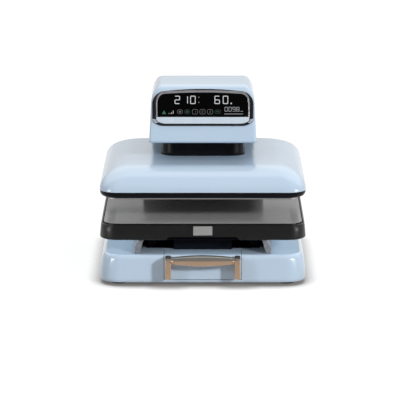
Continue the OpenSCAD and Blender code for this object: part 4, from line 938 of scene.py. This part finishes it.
def key_loop(i):
    """One key: the window's lower corners on the end keys, small corners elsewhere."""
    split, small, end = 0.1, (0.5, 0.5), (20.0, 9.0)
    pitch = 2 * WINDOW_HALF / KEY_COUNT
    middle = (i - (KEY_COUNT - 1) / 2) * pitch
    half = (pitch - split) / 2
    edge = WINDOW_HALF - RUNNING_GAP
    corners = [small, small, end if i == 0 else small, end if i == KEY_COUNT - 1 else small]
    return corner_loop(max(middle - half, -edge), min(middle + half, edge), WINDOW_LOW + RUNNING_GAP,
        WINDOW_LOW + KEY_HEIGHT, corners, 8)


for i in range(KEY_COUNT):
    key = "key_%d" % (i + 1)
    make_piece(key + "_cap", [panel_slab(key_loop(i), -1.2, KEY_FRONT, 0.35)], "key_blue",
        "key_body_%d" % (i + 1), [key], sharp=50)


SEGMENTS = {"a": ((0, 1), (1, 1)), "b": ((1, 0.5), (1, 1)), "c": ((1, 0), (1, 0.5)), "d": ((0, 0), (1, 0)),
    "e": ((0, 0), (0, 0.5)), "f": ((0, 0.5), (0, 1)), "g": ((0, 0.5), (1, 0.5))}
DIGITS = {"0": "abcdef", "1": "bc", "2": "abged", "6": "afgedc", "8": "abcdefg", "9": "abcdfg"}
FIGURE_OUT = GLASS_FRONT + 0.06
FIGURE_BACK = GLASS_FRONT - 0.05


def panel_plate(outline):
    """A thin plate on the glass, from an outline of (x, up) points."""
    loop = np.asarray(outline, float)
    return loft(np.stack([on_panel(loop, FIGURE_BACK), on_panel(loop, FIGURE_OUT)]))


def bar_outline(start, stop, thick):
    """A bar between two points, with pointed ends."""
    along = (stop - start) / np.linalg.norm(stop - start)
    across = np.array([-along[1], along[0]]) * thick / 2
    tip = along * thick / 2
    return [start, start + tip + across, stop - tip + across, stop, stop - tip - across, start + tip - across]


def figure(digit, left, low, wide, high, thick):
    """The lit bars of one seven-bar figure."""
    bars = [np.array(SEGMENTS[name]) * [wide, high] + [left, low] for name in DIGITS[digit]]
    return [panel_plate(bar_outline(start, stop, thick)) for start, stop in bars]


def box_plate(left, low, right, high):
    """A small upright plate on the glass."""
    return panel_plate([(left, low), (right, low), (right, high), (left, high)])


def rounded_plate(x, up, half_x, half_up, radius):
    """A small rounded plate on the glass."""
    return panel_plate(rounded_loop(half_x, half_up, radius, None, 4) + [x, up])


def round_frame(x, up, half_x, half_up, radius, thick):
    """A thin rounded frame on the glass."""
    outer = rounded_loop(half_x, half_up, radius, None, 5) + [x, up]
    inner = rounded_loop(half_x - thick, half_up - thick, max(radius - thick, 0.2), None, 5) + [x, up]
    return ring_skin(np.stack([on_panel(outer, FIGURE_BACK), on_panel(outer, FIGURE_OUT),
        on_panel(inner, FIGURE_OUT), on_panel(inner, FIGURE_BACK)]))


def marks(name, plates, finish):
    """One piece of lit plates on the display."""
    make_piece(name, plates, finish, "frame")


FIGURE_LOW, FIGURE_SIZE = 82.75, (9.6, 15.4, 1.45)
MARK_UP = 65.9
figures = []
for digit, left in (("2", -57.5), ("1", -41.2), ("0", -25.3), ("6", 24.9), ("0", 42.1)):
    figures += figure(digit, left, FIGURE_LOW, *FIGURE_SIZE)
figures.append(rounded_plate(58.6, FIGURE_LOW + 0.4, 1.4, 1.4, 1.1))
for i, high in enumerate((1.2, 1.4, 3.6, 7.0)):
    figures.append(box_plate(-70.6 + 3.0 * i, 61.5, -69.7 + 3.0 * i, 61.5 + high))
marks("display_figures", figures, "lit_white")

dim = [rounded_plate(-8.2, FIGURE_LOW + up, 0.9, 0.9, 0.8) for up in (2.6, 13.0)]
for i, digit in enumerate("0098"):
    dim += figure(digit, 45.6 + 8.0 * i, 66.9, 5.4, 8.4, 1.0)
dim += [box_plate(77.5, 66.4, 83.0, 67.3), box_plate(44.5, 60.8, 83.0, 61.9)]
marks("display_dim_marks", dim, "lit_dim")

faint = [round_frame(x, MARK_UP, 6.0, 5.2, 3.6, 0.8) for x in (-16.2, -0.6, 15.0)]
faint += [round_frame(-47.4, MARK_UP, 5.8, 4.6, 4.4, 0.8), rounded_plate(-47.4, MARK_UP, 2.2, 1.8, 1.5)]
for digit, x in (("1", -17.6), ("2", -1.9), ("2", 13.7)):
    faint += figure(digit, x, MARK_UP - 2.0, 2.6, 4.0, 0.6)
marks("display_faint_marks", faint, "lit_faint")

marks("display_green_mark", [panel_plate([(-84.6, 61.2), (-75.8, 61.2), (-80.2, 68.8)])], "lit_green")
shaded = [round_frame(-32.3, MARK_UP, 5.4, 4.8, 4.2, 1.0), rounded_plate(-32.3, MARK_UP, 2.8, 2.2, 1.8),
    round_frame(31.0, MARK_UP, 6.4, 4.0, 3.8, 0.9), rounded_plate(31.0, MARK_UP, 3.0, 1.1, 1.0)]
marks("display_shaded_marks", shaded, "lit_shade")


# Pins in the inlet, and the feet

def inlet_pin(across, up):
    """A flat pin: its section in X and Z, carried along Y from the socket's floor to near its mouth."""
    half_x, half_z, deep, mouth = 2.0, 1.0, 18.2, 3.0
    x, z = inlet.middle[0] + across, inlet.middle[2] + up
    section = np.array([(-1, -1), (1, -1), (1, 1), (-1, 1)]) * [half_x, half_z] + [x, z]
    return loft(carried(section, 1, BACK_Y - deep, BACK_Y - mouth))


pins = [inlet_pin(across, up) for across, up in ((-6.5, -2.2), (0.0, 3.2), (6.5, -2.2))]
ease_edges(make_piece("inlet_pins", pins, "steel", "frame"), 0.4, 2)

FOOT_SIZE = 17.0


def foot_skin(x, y):
    """A foot's radius against height: flared foot, fine bead, recess above the floor left to the screw."""
    r, h, bore = FOOT_SIZE, feet.high[2], 6.0
    profile = [(4.0, bore), (0.0, bore), (0.0, r - 3.0), (0.6, r - 1.4), (1.6, r - 0.9), (h - 1.0, r), (h, r),
        (h, bore)]
    return turned(profile, (x, y), upright=True)


foot_skins = [foot_skin(x, y) for x in (feet.low[0] + FOOT_SIZE, feet.high[0] - FOOT_SIZE)
    for y in (feet.low[1] + FOOT_SIZE, feet.high[1] - FOOT_SIZE)]
make_piece("rubber_feet_turned", foot_skins, "rubber_black", "frame", ["rubber_feet"], sharp=40)


# Solids that stay as they are take the finish of their slot

slots = {part["node"]: part["material_slot"] for part in frame["record"]["subparts"]}
for name, solid in frame["nodes"].items():
    solid.data.materials.clear()
    solid.data.materials.append(FINISHES[slots[name]])


# Floor, light and camera, in metres

def floor_finish():
    """White where nothing is near; the shade close under the object comes from how closed in a point is.
    Where it is mirrored it is white behind the object and grey in front."""
    material, tree, principled = shader("floor_white")
    tree.nodes.remove(principled)
    rays, seen = seen_rays(tree)
    near = add(tree, "AmbientOcclusion", Distance=0.05)
    near.samples = 16
    shade = two_tones(tree, near.outputs["AO"], (0.42, 0.86), ((0.14, 0.134, 0.13), (1, 1, 1)))
    glow = add(tree, "Emission", Color=shade, Strength=0.85)
    soft = add(tree, "BsdfDiffuse", Color=(0.22, 0.22, 0.22, 1))
    bounce = add(tree, "BsdfDiffuse", Color=(0.38, 0.38, 0.38, 1))
    place = add(tree, "SeparateXYZ", Vector=add(tree, "TexCoord").outputs["Object"])
    sheen = add(tree, "Emission", Strength=ramp(tree, place.outputs["Y"], (-0.4, 0.0), (0.36, 1.0)))
    both = add(tree, "AddShader")
    plain = add(tree, "MixShader", Fac=rays["Is Glossy Ray"])
    whole = add(tree, "MixShader", Fac=seen)
    for first, second, mix in ((glow, soft, both), (bounce, sheen, plain), (plain, both, whole)):
        tree.links.new(first.outputs[0], mix.inputs[-2])
        tree.links.new(second.outputs[0], mix.inputs[-1])
    fill(tree.nodes["Material Output"], Surface=whole.outputs[0])
    return material


def studio_floor():
    """A wide flat sheet under the feet."""
    reach = 20.0
    mesh = bpy.data.meshes.new("studio_floor")
    corners = [(-reach, -reach, 0), (reach, -reach, 0), (reach, reach, 0), (-reach, reach, 0)]
    mesh.from_pydata(corners, [], [(0, 1, 2, 3)])
    mesh.materials.append(floor_finish())
    new_object("studio_floor", mesh)


def new_lamp(name, kind, place, target, energy, mirrored=False):
    """A lamp at a place, turned towards a target."""
    lamp = bpy.data.lights.new(name, kind)
    lamp.energy = energy
    thing = new_object(name, lamp)
    thing.location = place
    thing.rotation_euler = (Vector(target) - Vector(place)).to_track_quat("-Z", "Y").to_euler()
    thing.visible_glossy = mirrored
    return lamp, thing


def soft_sun(name, place, strength, width):
    """A distant lamp, its width in degrees, that shines from a place and isn't mirrored."""
    lamp, _ = new_lamp(name, "SUN", place, (0, 0, 0.15), strength)
    lamp.angle = math.radians(width)


def box_lamp(name, place, target, size, radiance, colour=(1, 1, 1), mirrored=False):
    """A flat lamp with an even radiance, unseen by the camera: its power is pi times area times radiance.
    It either lights surfaces or is only mirrored in them."""
    lamp, thing = new_lamp(name, "AREA", place, target, math.pi * size[0] * size[1] * radiance, mirrored)
    lamp.shape = "RECTANGLE"
    lamp.size, lamp.size_y = size
    lamp.color = colour
    thing.visible_camera = False
    thing.visible_diffuse = not mirrored


def studio_lamps():
    """A soft sun from the right, a weaker one from the left, a softbox mirrored at each side, and weak lamps
    under the tray for the deck's own light."""
    soft_sun("right_sun", (2.24, -2.6, 1.48), 2.12, 7)
    soft_sun("left_sun", (-2.4, -2.4, 1.4), 0.55, 10)
    front_y, under = FRONT_Y * MM, (tray.low[2] - 2.5) * MM
    deck_x, deck_y, ledge_y = 0.168, -0.085, front_y + 0.022
    for side in (-1, 1):
        box_lamp("softbox", (side * 1.7, -1.2, 0.2), (0, front_y, 0.11), (0.5, 0.2), 36.0, mirrored=True)
    for x in (-deck_x, deck_x):
        box_lamp("deck_lamp", (x, deck_y, under), (x, deck_y, 0), (0.075, 0.27), 1.25, (0.80, 0.92, 1.0))
    box_lamp("ledge_lamp", (0, ledge_y, under), (0, ledge_y, 0), (0.15, 0.02), 1.2, (0.55, 0.80, 1.0))


def studio_sky():
    """A plain sky, brighter overhead. Where it is mirrored it is white behind, brightest above and dark in
    front; where it is seen it is white."""
    world = bpy.data.worlds.new("studio_sky")
    world.use_nodes = True
    tree = world.node_tree
    rays, seen = seen_rays(tree)
    way = add(tree, "SeparateXYZ", Vector=add(tree, "TexCoord").outputs["Generated"]).outputs
    plain = ramp(tree, way["Z"], (-0.1, 1.0), (0.25, 0.88))
    above = ramp(tree, way["Z"], (0.22, 0.55), (0.85, 1.7))
    room = ramp(tree, way["Y"], (-0.14, 0.05), (0.12, 1.0))
    level = choose(tree, rays["Is Glossy Ray"], plain, combine(tree, "MULTIPLY", above, room))
    fill(tree.nodes["Background"], Color=(1, 1, 1, 1), Strength=choose(tree, seen, level, 1.0))
    bpy.context.scene.world = world


def photo_camera():
    """The photograph's viewpoint: a long lens from the front, twelve degrees down."""
    image_px, focal_px = 416.0, 2625.0
    pitch, away, drop, aside = math.radians(12), 5.355, 0.031, 0.0107
    camera = bpy.data.cameras.new("photo_camera")
    camera.sensor_fit = "HORIZONTAL"
    camera.sensor_width = 36.0
    camera.lens = focal_px / image_px * camera.sensor_width
    camera.clip_end = 100.0
    thing = new_object("photo_camera", camera)
    thing.location = (aside, FRONT_Y * MM - away * math.cos(pitch) - drop * math.sin(pitch),
        dome.low[2] * MM + away * math.sin(pitch) - drop * math.cos(pitch))
    thing.rotation_euler = (math.radians(90) - pitch, 0, 0)
    bpy.context.scene.camera = thing


studio_floor()
studio_sky()
studio_lamps()
photo_camera()
bpy.context.scene.view_settings.view_transform = "Standard"
